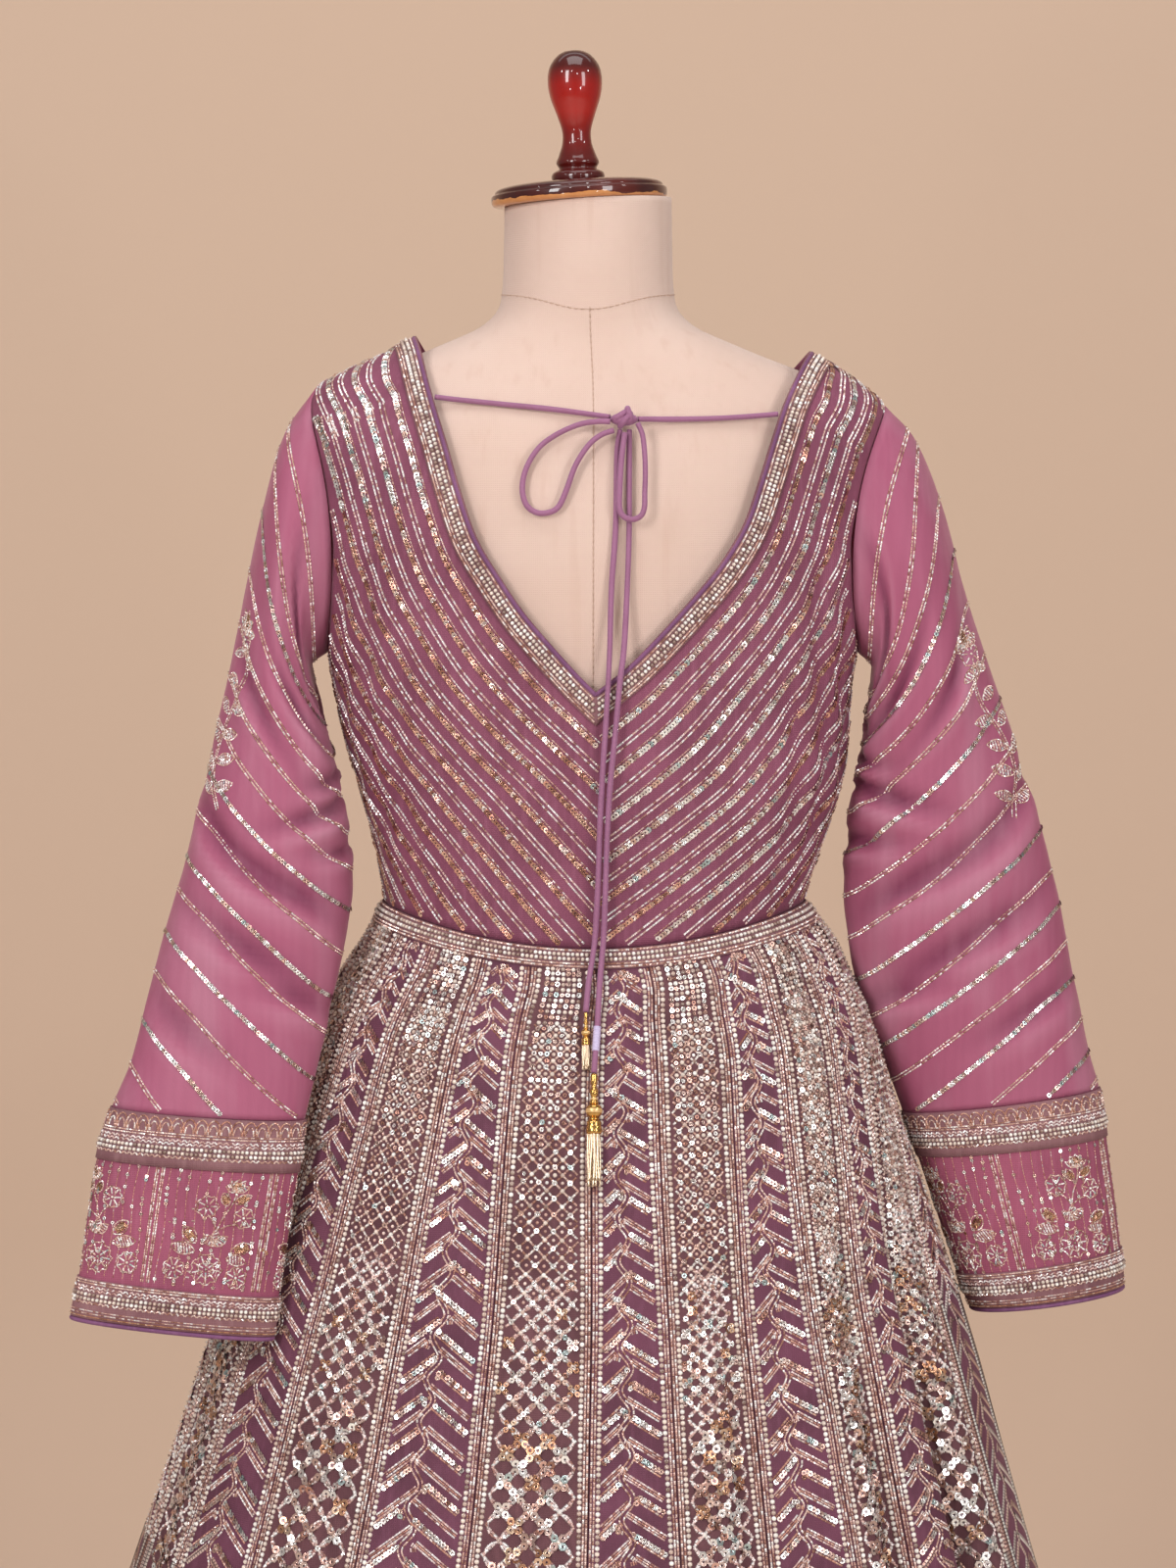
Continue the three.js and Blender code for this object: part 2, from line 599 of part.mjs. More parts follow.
const gores = Array.from({ length: GORE_PAIRS }, (_, i) => [
  { kind: "vine", number: i + 1, from: (i * 360) / GORE_PAIRS, width: VINE_TURN },
  { kind: "lattice", number: i + 1, from: (i * 360) / GORE_PAIRS + VINE_TURN, width: LATTICE_TURN },
]).flat();

// The band over the waist seam follows the gores' own columns of points.
function waistBandSurface() {
  const room = seamTurn(0);
  const turns = gores.flatMap((gore) => steps(GORE_COLUMNS).map((s) =>
    gore.from + room / 2 + (gore.width - room) * s));
  return gridSurface(skirtPoint, turns, [0, BAND_FALL], true, true);
}

// ---------------------------------------------------------------- the dress form and its stand

const FORM_FACETS = 32;

function formPoint(angle, z) {
  const ring = rowAt(FORM_RINGS, "z", z);
  const depth = Math.cos(angle) >= 0 ? ring.back : ring.front;
  const tilt = Math.tan(NECK_TILT) * ring.halfWidth * Math.sin(angle) * smooth((z - 1440) / 45);
  return new THREE.Vector3(FORM_X + ring.halfWidth * Math.sin(angle), -depth * Math.cos(angle), z + tilt);
}

function formTorso() {
  const levels = FORM_RINGS.flatMap((ring, i) => {
    const next = FORM_RINGS[i + 1];
    return next && next.z - ring.z > 60 ? [ring.z, (ring.z + next.z) / 2] : [ring.z];
  });
  const side = gridSurface(formPoint, ringAngles(FORM_FACETS), levels, true, false);
  const points = [...side.points];
  const triangles = [...side.faces];
  const topRow = (levels.length - 1) * FORM_FACETS;
  const centre = (row) => {
    const sum = new THREE.Vector3();
    for (let i = 0; i < FORM_FACETS; i += 1) sum.add(points[row + i]);
    return sum.multiplyScalar(1 / FORM_FACETS);
  };
  points.push(centre(0), centre(topRow));
  const [bottom, top] = [points.length - 2, points.length - 1];
  for (let i = 0; i < FORM_FACETS; i += 1) {
    const j = (i + 1) % FORM_FACETS;
    triangles.push([j, i, bottom], [topRow + i, topRow + j, top]);
  }
  return meshGeometry(points, triangles);
}

// A turned solid about +Z: its profile runs from the axis back to the axis, from the foot up.
function turned(profile, facets) {
  const geometry = new THREE.LatheGeometry(profile.map(([radius, z]) => new THREE.Vector2(radius, z)), facets);
  geometry.rotateX(Math.PI / 2);
  return geometry;
}

function capGeometry() {
  const { radius, thickness } = CAP;
  return turned([
    [0, 0], [radius - 3, 0], [radius - 0.6, 1.6], [radius, 5], [radius - 0.6, 9], [radius - 4, 11.6],
    [radius - 14, thickness - 0.8], [0, thickness],
  ], 28);
}

const finialGeometry = () =>
  turned([[0, 0], ...FINIAL_PROFILE.map((row) => [row.radius, row.height])], 18);

const poleTop = FORM_RINGS[0].z - SEAM_GAP;

// ---------------------------------------------------------------- the tie

function tieGeometry(name) {
  const path = new THREE.CatmullRomCurve3(TIE_ROUTES[name].map((p) => new THREE.Vector3(...p)));
  const section = new THREE.Shape(ringAngles(8).map((a) =>
    new THREE.Vector2(Math.cos(a), Math.sin(a)).multiplyScalar(TIE_DIAMETER / 2)));
  return new THREE.ExtrudeGeometry(section, { steps: TIE_STEPS[name], extrudePath: path });
}

function knotGeometry() {
  const geometry = new THREE.SphereGeometry(1, 14, 8);
  geometry.scale(KNOT.halfWidth, KNOT.halfDepth, KNOT.halfHeight);
  return geometry;
}

function toManifold(geometry) {
  const bare = geometry.clone();
  bare.deleteAttribute("normal");
  bare.deleteAttribute("uv");
  const merged = mergeVertices(bare, 1e-4);
  const triangles = [];
  for (let i = 0; i < merged.index.count; i += 3) {
    const corners = [0, 1, 2].map((k) => merged.index.getX(i + k));
    if (new Set(corners).size === 3) triangles.push(...corners);
  }
  return new wasm.Manifold(new wasm.Mesh({
    numProp: 3,
    vertProperties: new Float32Array(merged.attributes.position.array),
    triVerts: new Uint32Array(triangles),
  }));
}

function fromManifold(solid) {
  const mesh = solid.getMesh();
  const geometry = new THREE.BufferGeometry();
  geometry.setAttribute("position", new THREE.BufferAttribute(mesh.vertProperties, 3));
  geometry.setIndex(new THREE.BufferAttribute(mesh.triVerts, 1));
  geometry.computeVertexNormals();
  return geometry;
}

// Bead stack and bell with the strands fused into the bell; it hangs down from its own origin.
function tasselGeometry({ scale, strandLength }) {
  const profile = [...TASSEL_HEAD].reverse().map((row) => [row.radius * scale, -row.down * scale]);
  let solid = toManifold(turned(profile, 10));
  const last = TASSEL_HEAD[TASSEL_HEAD.length - 1].down * scale;
  for (const angle of ringAngles(TASSEL_STRANDS)) {
    const strand = new THREE.CylinderGeometry(0.65 * scale, 0.65 * scale, strandLength + 2, 4);
    strand.rotateX(Math.PI / 2);
    strand.translate(3.1 * scale * Math.cos(angle), 3.1 * scale * Math.sin(angle), -last - strandLength / 2 + 1);
    solid = solid.add(toManifold(strand));
  }
  return fromManifold(solid);
}

// ---------------------------------------------------------------- the assembled gown and form

const gown = new THREE.Group();

function place(parent, name, geometry, material) {
  const mesh = new THREE.Mesh(geometry, material());
  mesh.name = name;
  parent.add(mesh);
  return mesh;
}

const OUTSIDE = 0;
const bandOver = (surface) => wall(surface, SEAM_GAP + BAND_THICKNESS, SEAM_GAP);

for (const face of ["back", "front"]) {
  const { panel, border } = bodicePanel(face);
  place(gown, `bodice_${face}`, wall(panel, OUTSIDE, -LINED_CLOTH), plumCloth);
  place(gown, `neck_border_${face}`, bandOver(border), beadwork);
}

for (const name of ["left", "right"]) {
  const sleeveEnd = CUFF_TOP - SEAM_GAP / 2;
  const cuffStart = CUFF_TOP + SEAM_GAP / 2;
  const cuffRows = [cuffStart, CUFF_BAND_END, CUFF_HEM_BAND, CUFF_PIPING, CUFF_END];
  place(gown, `sleeve_${name}`, wall(sleeveSurface(name, [...sleeveRows, sleeveEnd]), OUTSIDE, -ORGANZA), organza);
  place(gown, `cuff_${name}`, wall(sleeveSurface(name, cuffRows), OUTSIDE, -LINED_CLOTH), plumCloth);
  place(gown, `cuff_top_band_${name}`, bandOver(sleeveSurface(name, cuffRows.slice(0, 2))), beadwork);
  place(gown, `cuff_hem_band_${name}`, bandOver(sleeveSurface(name, cuffRows.slice(2, 4))), beadwork);
}

for (const { kind, number, from, width } of gores) {
  const name = `gore_${kind}_${String(number).padStart(2, "0")}`;
  place(gown, name, wall(goreSurface(from, width), OUTSIDE, -LINED_CLOTH), kind === "vine" ? plumCloth : beadwork);
}
place(gown, "waist_band", bandOver(waistBandSurface()), beadwork);

for (const name of Object.keys(TIE_ROUTES)) place(gown, name, tieGeometry(name), dori);
const knot = place(gown, "tie_knot", knotGeometry(), dori);
knot.position.set(KNOT.x, KNOT.y, KNOT.z);
for (const [name, tassel] of Object.entries(TASSELS)) {
  const mesh = place(gown, name, tasselGeometry(tassel), gold);
  mesh.position.set(...tassel.top);
  mesh.rotation.x = tassel.lean;
}

const dressForm = new THREE.Group();
place(dressForm, "form_torso", formTorso(), linen);
const crown = new THREE.Group();
crown.position.set(CAP.x, 0, CAP.z);
crown.rotation.y = -NECK_TILT;
place(crown, "form_cap", capGeometry(), lacquer);
const finial = place(crown, "form_finial", finialGeometry(), lacquer);
finial.position.z = CAP.thickness + SEAM_GAP;
finial.rotation.y = NECK_TILT + FINIAL_LEAN;
dressForm.add(crown);
const pole = new THREE.CylinderGeometry(STAND.poleRadius, STAND.poleRadius, poleTop - STAND.baseHeight - SEAM_GAP, 20);
pole.rotateX(Math.PI / 2);
pole.translate(0, 0, (poleTop + STAND.baseHeight + SEAM_GAP) / 2);
place(dressForm, "form_pole", pole, steel);
const { baseRadius, baseHeight } = STAND;
place(dressForm, "form_base", turned([
  [0, 0], [baseRadius, 0], [baseRadius, baseHeight - 5], [baseRadius - 5, baseHeight], [0, baseHeight],
], 36), steel);

const part = new THREE.Group();
part.add(gown, dressForm);
export default part;
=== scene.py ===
"""Looks of a back-tied anarkali gown worn by a limbless dress form.

Metres, +Z up. The gown's back faces -Y. "left" is -X, the left of somebody who looks at the back.
Shapes are worked out in millimetres, from named sizes and short tables, and scaled as a mesh is made.
"""

import bpy
import numpy as np
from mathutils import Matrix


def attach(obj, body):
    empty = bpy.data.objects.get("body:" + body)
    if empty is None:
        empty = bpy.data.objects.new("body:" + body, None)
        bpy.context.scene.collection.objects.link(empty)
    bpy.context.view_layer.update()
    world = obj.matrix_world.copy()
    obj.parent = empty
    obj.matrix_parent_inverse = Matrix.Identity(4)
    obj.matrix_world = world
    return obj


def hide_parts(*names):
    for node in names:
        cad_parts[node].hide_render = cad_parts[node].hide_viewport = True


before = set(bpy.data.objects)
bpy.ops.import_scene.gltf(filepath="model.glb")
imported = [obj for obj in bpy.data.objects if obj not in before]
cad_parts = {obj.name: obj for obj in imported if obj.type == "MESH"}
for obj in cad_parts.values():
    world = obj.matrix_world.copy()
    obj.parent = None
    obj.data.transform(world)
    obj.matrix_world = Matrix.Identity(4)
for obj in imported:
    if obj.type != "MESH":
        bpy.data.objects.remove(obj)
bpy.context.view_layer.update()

MM = 0.001
TURN = 2 * np.pi
DEG = np.pi / 180
dice = np.random.default_rng(7)

# ---------------------------------------------------------------- camera

camera = bpy.data.objects.new("camera", bpy.data.cameras.new("camera"))
bpy.context.scene.collection.objects.link(camera)
bpy.context.scene.camera = camera
camera.location = (-0.003, -3.0, 1.280)
camera.rotation_euler = ((90 - 3.2814) * DEG, 0, 0)
camera.data.sensor_fit = "VERTICAL"
camera.data.sensor_height = 36
camera.data.lens = 104.017

# ---------------------------------------------------------------- sizes, in millimetres

SEAM_GAP = 0.3
LINED_CLOTH = 1.6
ORGANZA = 1.0
BORDER_WIDTH = 16
WAIST_BAND = 12.5
HEM_HEIGHT = 22
CENTRE_BACK_X = 2
GORE_PAIRS = 12
VINE_SHARE = 0.445
TIE_DIAMETER = 4


def table(columns, rows):
    """Number rows with named columns, as one array for each column."""
    return dict(zip(columns.split(), np.array(rows, float).T))


GOWN_RINGS = table("z shift halfWidth back front", [
    (1000, 0, 137, 104, 104), (1031, 1, 139.5, 105, 106), (1062, 3.5, 146.5, 107, 112),
    (1108, 5, 160, 109, 122), (1134, 3, 166, 110, 128), (1173, 0, 171.5, 111, 132),
    (1200, 0, 176, 112, 131), (1250, 0, 183, 111, 122), (1300, 0, 190, 106, 108),
    (1340, 0, 195, 94, 90), (1359, 0, 192, 82, 76), (1372, -1, 179, 72, 66),
    (1381, 1, 164.5, 65, 60), (1392, 3, 142, 58, 53), (1403, 0, 116, 52, 48), (1412, 0, 92, 46, 42)])

NECKLINE = {
    ("back", -1): [(2, 1173), (-9, 1184), (-28, 1205), (-44, 1224), (-59, 1246), (-74, 1271),
                   (-85, 1302), (-94, 1333), (-104, 1365), (-112, 1393)],
    ("back", 1): [(2, 1173), (22, 1189), (42, 1209), (63, 1232), (82, 1255), (97, 1280),
                  (107, 1308), (115, 1333), (124, 1359), (136, 1383)],
    ("front", -1): [(2, 1270), (-20, 1279), (-44, 1294), (-66, 1315), (-84, 1340), (-98, 1366),
                    (-110, 1392)],
    ("front", 1): [(2, 1270), (24, 1279), (50, 1294), (75, 1315), (97, 1338), (116, 1362),
                   (133, 1382)],
}
NECK_POINT_Z = {-1: 1403, 1: 1393}
SHOULDER_POINT_Z = {-1: 1372, 1: 1358}
UNDERARM_Z = 1195
ARMHOLE_HALF_DEPTH = 45
ARMHOLE_GAP = 0.7
WAIST_SEAM = {"back": 1008, "front": 1015, "side": 1031}

SKIRT_FLARE = table("drop shift side back front", [
    (0, 0, 0, 0, 0), (24, 3, 16, 9, 8), (45, 1, 28, 17, 15), (72, 0, 42, 27, 24),
    (130, -1, 61, 44, 40), (230, -1, 94, 68, 64), (290, -2, 114, 82, 78), (350, -3, 133, 96, 92),
    (450, -5, 167, 120, 116), (640, -4, 235, 182, 178), (820, -2, 300, 246, 242),
    (1009, 0, 360, 312, 308)])
CLOTH_TURN = table("cloth seen", [
    (-180, -180), (-150, -150), (-120, -121), (-90, -92), (-60, -64), (-46.7, -48), (-30, -31),
    (-16.7, -15.6), (0, 0), (13.3, 12), (30, 24.5), (43.3, 36.5), (60, 47), (73.3, 57), (90, 68),
    (103.3, 85), (120, 106), (150, 144), (180, 180)])
TURN_FULL_DROP = 260
FOLDS = table("angle spread depth start", [
    (-153, 5.5, 46, 220), (-123, 5, 40, 260), (-94, 5, 30, 340), (-71, 4.5, 30, 200),
    (-43.5, 4, 20, 300), (-20, 3.5, 15, 420), (27.5, 3.6, 46, 170), (56.5, 4, 60, 130),
    (76, 3.6, 92, 90), (107, 5, 44, 300), (134, 5.5, 52, 240), (166, 5, 42, 280)])
HEM_WAVE = 9

SLEEVE_COLUMNS = "down outerX outerY outerZ innerX innerY innerZ halfDepth"
SLEEVE = {
    "left": table(SLEEVE_COLUMNS, [
        (0, -180, 0, 1372, -175.6, 0, 1195, 45), (18, -202, -2, 1341, -185, -4, 1188, 48),
        (50, -217, -6, 1290, -184, -10, 1176, 49), (85, -228, -9, 1238, -179, -16, 1158, 48),
        (124, -238, -15, 1186, -170, -25, 1132, 46), (168, -250, -27, 1135, -162, -34, 1095, 44),
        (233, -267, -43, 1059, -157, -46, 1041, 41), (291, -283, -57, 1000, -166, -60, 984, 36),
        (355, -299, -75, 934, -180, -79, 922, 30), (383, -311, -84, 904, -186, -87, 896, 27),
        (415, -320, -93, 872, -190, -96, 863, 24), (492, -331, -103, 797, -202, -107, 784, 20),
        (521, -336, -105, 769, -206, -109, 756, 19)]),
    "right": table(SLEEVE_COLUMNS, [
        (0, 193, 0, 1358, 175.6, 0, 1195, 45), (18, 212, 0, 1337, 184, 0, 1187, 48),
        (50, 231, 0, 1290, 184, 0, 1175, 49), (85, 245, 0, 1238, 182, 0, 1158, 48),
        (124, 262, 0, 1186, 177, 0, 1133, 46), (168, 281, 1, 1134, 171, 2, 1098, 44),
        (233, 304, 3, 1056, 167, 3, 1032, 42), (291, 318, 5, 990, 176, 5, 972, 40),
        (355, 331, 7, 930, 198, 7, 914, 38), (383, 338, 8, 905, 207, 8, 889, 37),
        (415, 343, 8, 873, 217, 8, 860, 37), (492, 353, 9, 798, 244, 9, 781, 36),
        (521, 355, 9, 770, 254, 9, 756, 36)]),
}
SLEEVE_SETTLE = 60
# Troughs in a sleeve: where each lies, how it slants, its half sizes and its depth.
SLEEVE_CREASES = table("alpha down slope across along depth", [
    (2.3, 44, 1.1, 6.6, 30, 9.1), (2.7, 70, 0.8, 5.5, 24, 7.6), (2.1, 96, 0.6, 7.7, 30, 7),
    (2.8, 138, -0.4, 5.5, 24, 6.6), (2.4, 168, -0.5, 6.6, 34, 8.5), (2.7, 196, -0.2, 5.5, 28, 6),
    (1.9, 226, 0.4, 8.8, 36, 6.6), (1.1, 118, 0.7, 7.7, 32, 6), (0.9, 206, 0.6, 8.8, 38, 5.6),
    (1.5, 268, 0.45, 8.8, 40, 6.6), (2.3, 296, 0.2, 7.7, 30, 5), (1, 318, 0.5, 8.8, 30, 4.5),
    (4.1, 50, -1, 6.6, 30, 8.5), (3.6, 82, -0.8, 5.5, 24, 7), (4.2, 112, -0.5, 7.7, 32, 6.6),
    (3.6, 150, 0.4, 5.5, 26, 7), (3.9, 178, 0.5, 6.6, 34, 8.1), (3.5, 204, 0.2, 5.5, 26, 5.6),
    (4.4, 236, -0.4, 8.8, 36, 6.6), (5.2, 128, -0.6, 7.7, 32, 5.6), (5.4, 214, -0.6, 8.8, 38, 5.6),
    (4.8, 276, -0.45, 8.8, 40, 6), (4, 304, -0.2, 7.7, 30, 5), (5.3, 330, -0.5, 8.8, 30, 4.5)])
CUFF_TOP, CUFF_BAND_END, CUFF_HEM_BAND, CUFF_PIPING, CUFF_END = 383, 415, 492, 518, 521

FORM_X = -3
FORM_RINGS = table("z halfWidth back front", [
    (750, 148, 100, 96), (758, 160, 112, 106), (800, 168, 122, 112), (850, 166, 122, 110),
    (900, 156, 112, 103), (960, 137, 98, 94), (1010, 128, 95, 93), (1062, 136, 99, 100),
    (1108, 149, 101, 110), (1173, 162, 103, 120), (1250, 170, 102, 111), (1300, 175, 97, 97),
    (1340, 177, 86, 80), (1362, 168, 72, 66), (1378, 146, 63, 58), (1390, 116, 58, 54),
    (1400, 92, 55, 52), (1409, 72, 54, 52), (1420, 60, 54, 53), (1434, 56.5, 54, 54),
    (1460, 55.5, 54, 54), (1491, 55, 54, 54)])
NECK_TILT = 3.5 * DEG
CAP = {"x": -8.5, "z": 1491, "radius": 58, "thickness": 14}
FINIAL_LEAN = -2 * DEG
FINIAL_PROFILE = table("height radius", [
    (0, 17), (3, 17.6), (6, 16.4), (8, 12.5), (12, 14.2), (17, 12.4), (25, 9.8), (33, 9.6),
    (43, 12.5), (55, 16.6), (65, 18), (74, 16.8), (81, 12.5), (85, 6.5), (86, 0.3)])
STAND = {"baseRadius": 170, "baseHeight": 14, "poleRadius": 16}

KNOT = {"x": 20, "y": -92, "z": 1347, "halfWidth": 9, "halfDepth": 5.6, "halfHeight": 6}
TIE_ROUTES = {
    "tie_span_left": [
        (-101.7, -66.2, 1362), (-85, -68.5, 1360), (-66, -73, 1358), (-47, -77.2, 1356),
        (-28, -81, 1354), (-9, -84.5, 1351.5), (3, -87.5, 1349.8), (11, -90.5, 1348.6)],
    "tie_span_right": [
        (119.6, -67, 1351), (104.6, -69, 1349.7), (85, -74.4, 1348.3), (66, -79, 1347.6),
        (47.5, -83, 1347.3), (37, -87, 1347.3), (29, -90.6, 1347.2)],
    "tie_loop_left": [
        (11.2, -95.7, 1345.5), (3, -95.3, 1345.6), (-9, -94, 1343.6), (-23.7, -93, 1337),
        (-35, -94, 1328.2), (-42.5, -96, 1315.7), (-45, -98.5, 1303), (-42.5, -100, 1292.5),
        (-36, -101, 1287.5), (-28, -101.8, 1287.5), (-21.8, -102, 1291.2), (-16.8, -101.5, 1301.8),
        (-11, -99.5, 1317.5), (-3, -97.3, 1330), (5, -96, 1336.8), (13.6, -95.5, 1340)],
    "tie_loop_right": [
        (28.8, -95.9, 1344.5), (31.8, -97.2, 1337), (33.2, -99.3, 1325), (33.6, -101.5, 1312),
        (33.2, -103.8, 1300), (33, -105.5, 1291), (30.7, -106.3, 1285.3), (25, -106.6, 1283),
        (19.3, -106.3, 1285.3), (17, -105.5, 1291), (17.2, -103.8, 1303), (18, -101.2, 1317),
        (19.4, -98, 1330), (20.6, -96, 1338.3)],
    "tie_tail_left": [
        (17.5, -90.5, 1340.3), (15.6, -93, 1328), (15.2, -96.3, 1314), (14.6, -102.2, 1277),
        (12, -106.5, 1239), (10.9, -113, 1202), (9.9, -116.4, 1180), (8.2, -116.8, 1150),
        (6.2, -115.8, 1120), (4.6, -114.8, 1089), (3.4, -112.8, 1051), (1.8, -111.8, 1020),
        (0, -114, 1004), (-2.6, -119.5, 988), (-4.3, -126.5, 970)],
    "tie_tail_right": [
        (23.5, -90.5, 1340.3), (23.4, -93.3, 1327), (23.3, -97.2, 1308), (23.3, -102.2, 1277),
        (22, -106.5, 1239), (20, -113.6, 1202), (17.4, -116.6, 1180), (14.2, -116.8, 1145),
        (11.2, -116, 1115), (9.2, -114.6, 1080), (8.1, -113, 1045), (7.1, -112.3, 1018),
        (5.8, -114.3, 1002), (4.4, -120, 986), (3, -128.5, 962), (1.8, -135, 945),
        (0.8, -139.5, 932.5)],
}
TASSEL_HEAD = table("down radius", [
    (0, 0.2), (0.4, 1.8), (3, 2.2), (6, 2.0), (9, 1.6), (11, 2.5), (13.5, 2.5), (15.5, 1.7),
    (18, 2.6), (20, 2.6), (21, 4.4), (24, 5.2), (27, 4.4), (29, 2.6), (31, 4.6), (33, 4.6),
    (39, 4.4), (39.2, 0.2)])
TASSELS = {
    "tassel_long": {"top": (0.77, -139.63, 932.15), "lean": -15 * DEG, "scale": 1, "strand": 34},
    "tassel_short": {"top": (-4.35, -126.7, 969.65), "lean": -15 * DEG, "scale": 0.55, "strand": 16},
}
TASSEL_STRANDS = 10

# ---------------------------------------------------------------- curves and meshes


def curve_value(rows, key, column, at):
    """Cubic through a table's rows; its slope at a row is that of the line through the rows beside."""
    keys, values = rows[key], rows[column]
    high = np.clip(np.searchsorted(keys, at), 1, len(keys) - 1)
    low = high - 1
    before, after = np.maximum(low - 1, 0), np.minimum(high + 1, len(keys) - 1)
    span = keys[high] - keys[low]
    rise = (values[high] - values[before]) / (keys[high] - keys[before]) * span
    fall = (values[after] - values[low]) / (keys[after] - keys[low]) * span
    t = np.clip((at - keys[low]) / span, 0, 1)
    return ((2 * t**3 - 3 * t**2 + 1) * values[low] + (t**3 - 2 * t**2 + t) * rise
            + (3 * t**2 - 2 * t**3) * values[high] + (t**3 - t**2) * fall)


def columns_at(rows, key, at, names):
    return [curve_value(rows, key, name, at) for name in names.split()]


def mix(a, b, t):
    return a + (b - a) * t


def smooth(t):
    t = np.clip(t, 0, 1)
    return t * t * (3 - 2 * t)


def unit(vectors):
    return vectors / np.maximum(np.linalg.norm(vectors, axis=-1, keepdims=True), 1e-9)


def path_through(points, spacing):
    """Cubic through the points, resampled at an even spacing along its length."""
    p = np.array(points, float)
    rows = dict(zip("ixyz", [np.arange(len(p)), *p.T]))
    t = np.linspace(0, len(p) - 1, 24 * len(p))
    fine = np.stack([curve_value(rows, "i", c, t) for c in "xyz"], -1)
    along = np.concatenate([[0], np.cumsum(np.linalg.norm(np.diff(fine, axis=0), axis=1))])
    at = np.linspace(0, along[-1], max(int(along[-1] / spacing), 8) + 1)
    return np.stack([np.interp(at, along, fine[:, k]) for k in range(3)], -1), along[-1]


def grid_quads(rows, columns, closed=False, out=1):
    """Quads between neighbouring rows and columns; out=-1 turns them over."""
    i = np.arange(rows - 1)[:, None] * columns
    j = np.arange(columns if closed else columns - 1)[None, :]
    k = (j + 1) % columns
    quads = np.stack([i + j, i + k, i + columns + k, i + columns + j], -1).reshape(-1, 4)
    return quads if out > 0 else quads[:, ::-1]


def grid_normals(surface, u, v, out=1, step=1e-3):
    """Outward normals of a surface, from its slopes along both parameters."""
    across = surface(u + step, v) - surface(u - step, v)
    along = surface(u, v + step) - surface(u, v - step)
    return unit(np.cross(across, along)) * out


def closed_wall(points, normals, quads, near, far):
    """The surface moved out by near and by far, joined by a strip along each free edge."""
    count = len(points)
    both = np.concatenate([points + normals * near, points + normals * far])
    edges = np.concatenate([quads[:, [i, (i + 1) % 4]] for i in range(4)])
    edges = edges[edges[:, 0] != edges[:, 1]]
    code, back = edges @ [2 * count, 1], edges[:, ::-1] @ [2 * count, 1]
    free = edges[~np.isin(code, back)]
    rim = np.stack([free[:, 1], free[:, 0], free[:, 0] + count, free[:, 1] + count], -1)
    return both, np.concatenate([quads, quads[:, ::-1] + count, rim])


def weld(points, normals, quads):
    """Joins points that lie in one place."""
    _, first, same = np.unique(np.round(points, 2), axis=0, return_index=True, return_inverse=True)
    return points[first], unit(normals[first]), same.reshape(-1)[quads]


def piece(name, points, faces, finishes, finish_of=None, flat=False, tone=None, mark=None):
    """A mesh object from points in millimetres. faces is a list of (n, k) arrays of corners; finish_of
    gives each face's material number; tone is a colour for each point, and mark a place on its own
    shape for each point."""
    mesh = bpy.data.meshes.new(name)
    faces = faces if isinstance(faces, list) else [faces]
    sizes = np.concatenate([np.full(len(f), f.shape[1]) for f in faces])
    corners = np.concatenate([f.reshape(-1) for f in faces])
    mesh.vertices.add(len(points))
    mesh.vertices.foreach_set("co", (points * MM).astype(np.float32).ravel())
    mesh.loops.add(len(corners))
    mesh.loops.foreach_set("vertex_index", corners.astype(np.int32))
    mesh.polygons.add(len(sizes))
    mesh.polygons.foreach_set("loop_start", (np.cumsum(sizes) - sizes).astype(np.int32))
    mesh.polygons.foreach_set("use_smooth", np.full(len(sizes), not flat))
    if finish_of is not None:
        mesh.polygons.foreach_set("material_index", finish_of.astype(np.int32))
    if tone is not None:
        colour = mesh.color_attributes.new("tone", "FLOAT_COLOR", "POINT")
        colour.data.foreach_set("color", np.concatenate([tone, np.ones((len(tone), 1))], 1).ravel())
    if mark is not None:
        layer = mesh.uv_layers.new(name="mark")
        layer.data.foreach_set("uv", mark[corners].astype(np.float32).ravel())
    mesh.update(calc_edges=True)
    mesh.validate()
    for finish in finishes:
        mesh.materials.append(finish)
    made = bpy.data.objects.new(name, mesh)
    bpy.context.scene.collection.objects.link(made)
    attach(made, "root")
    return made


# ---------------------------------------------------------------- finishes


def colour(hexcode):
    """An sRGB hex colour as linear red, green, blue and 1."""
    c = np.array([int(hexcode[i:i + 2], 16) for i in (0, 2, 4)]) / 255
    return (*np.where(c <= 0.04045, c / 12.92, ((c + 0.055) / 1.055) ** 2.4), 1)


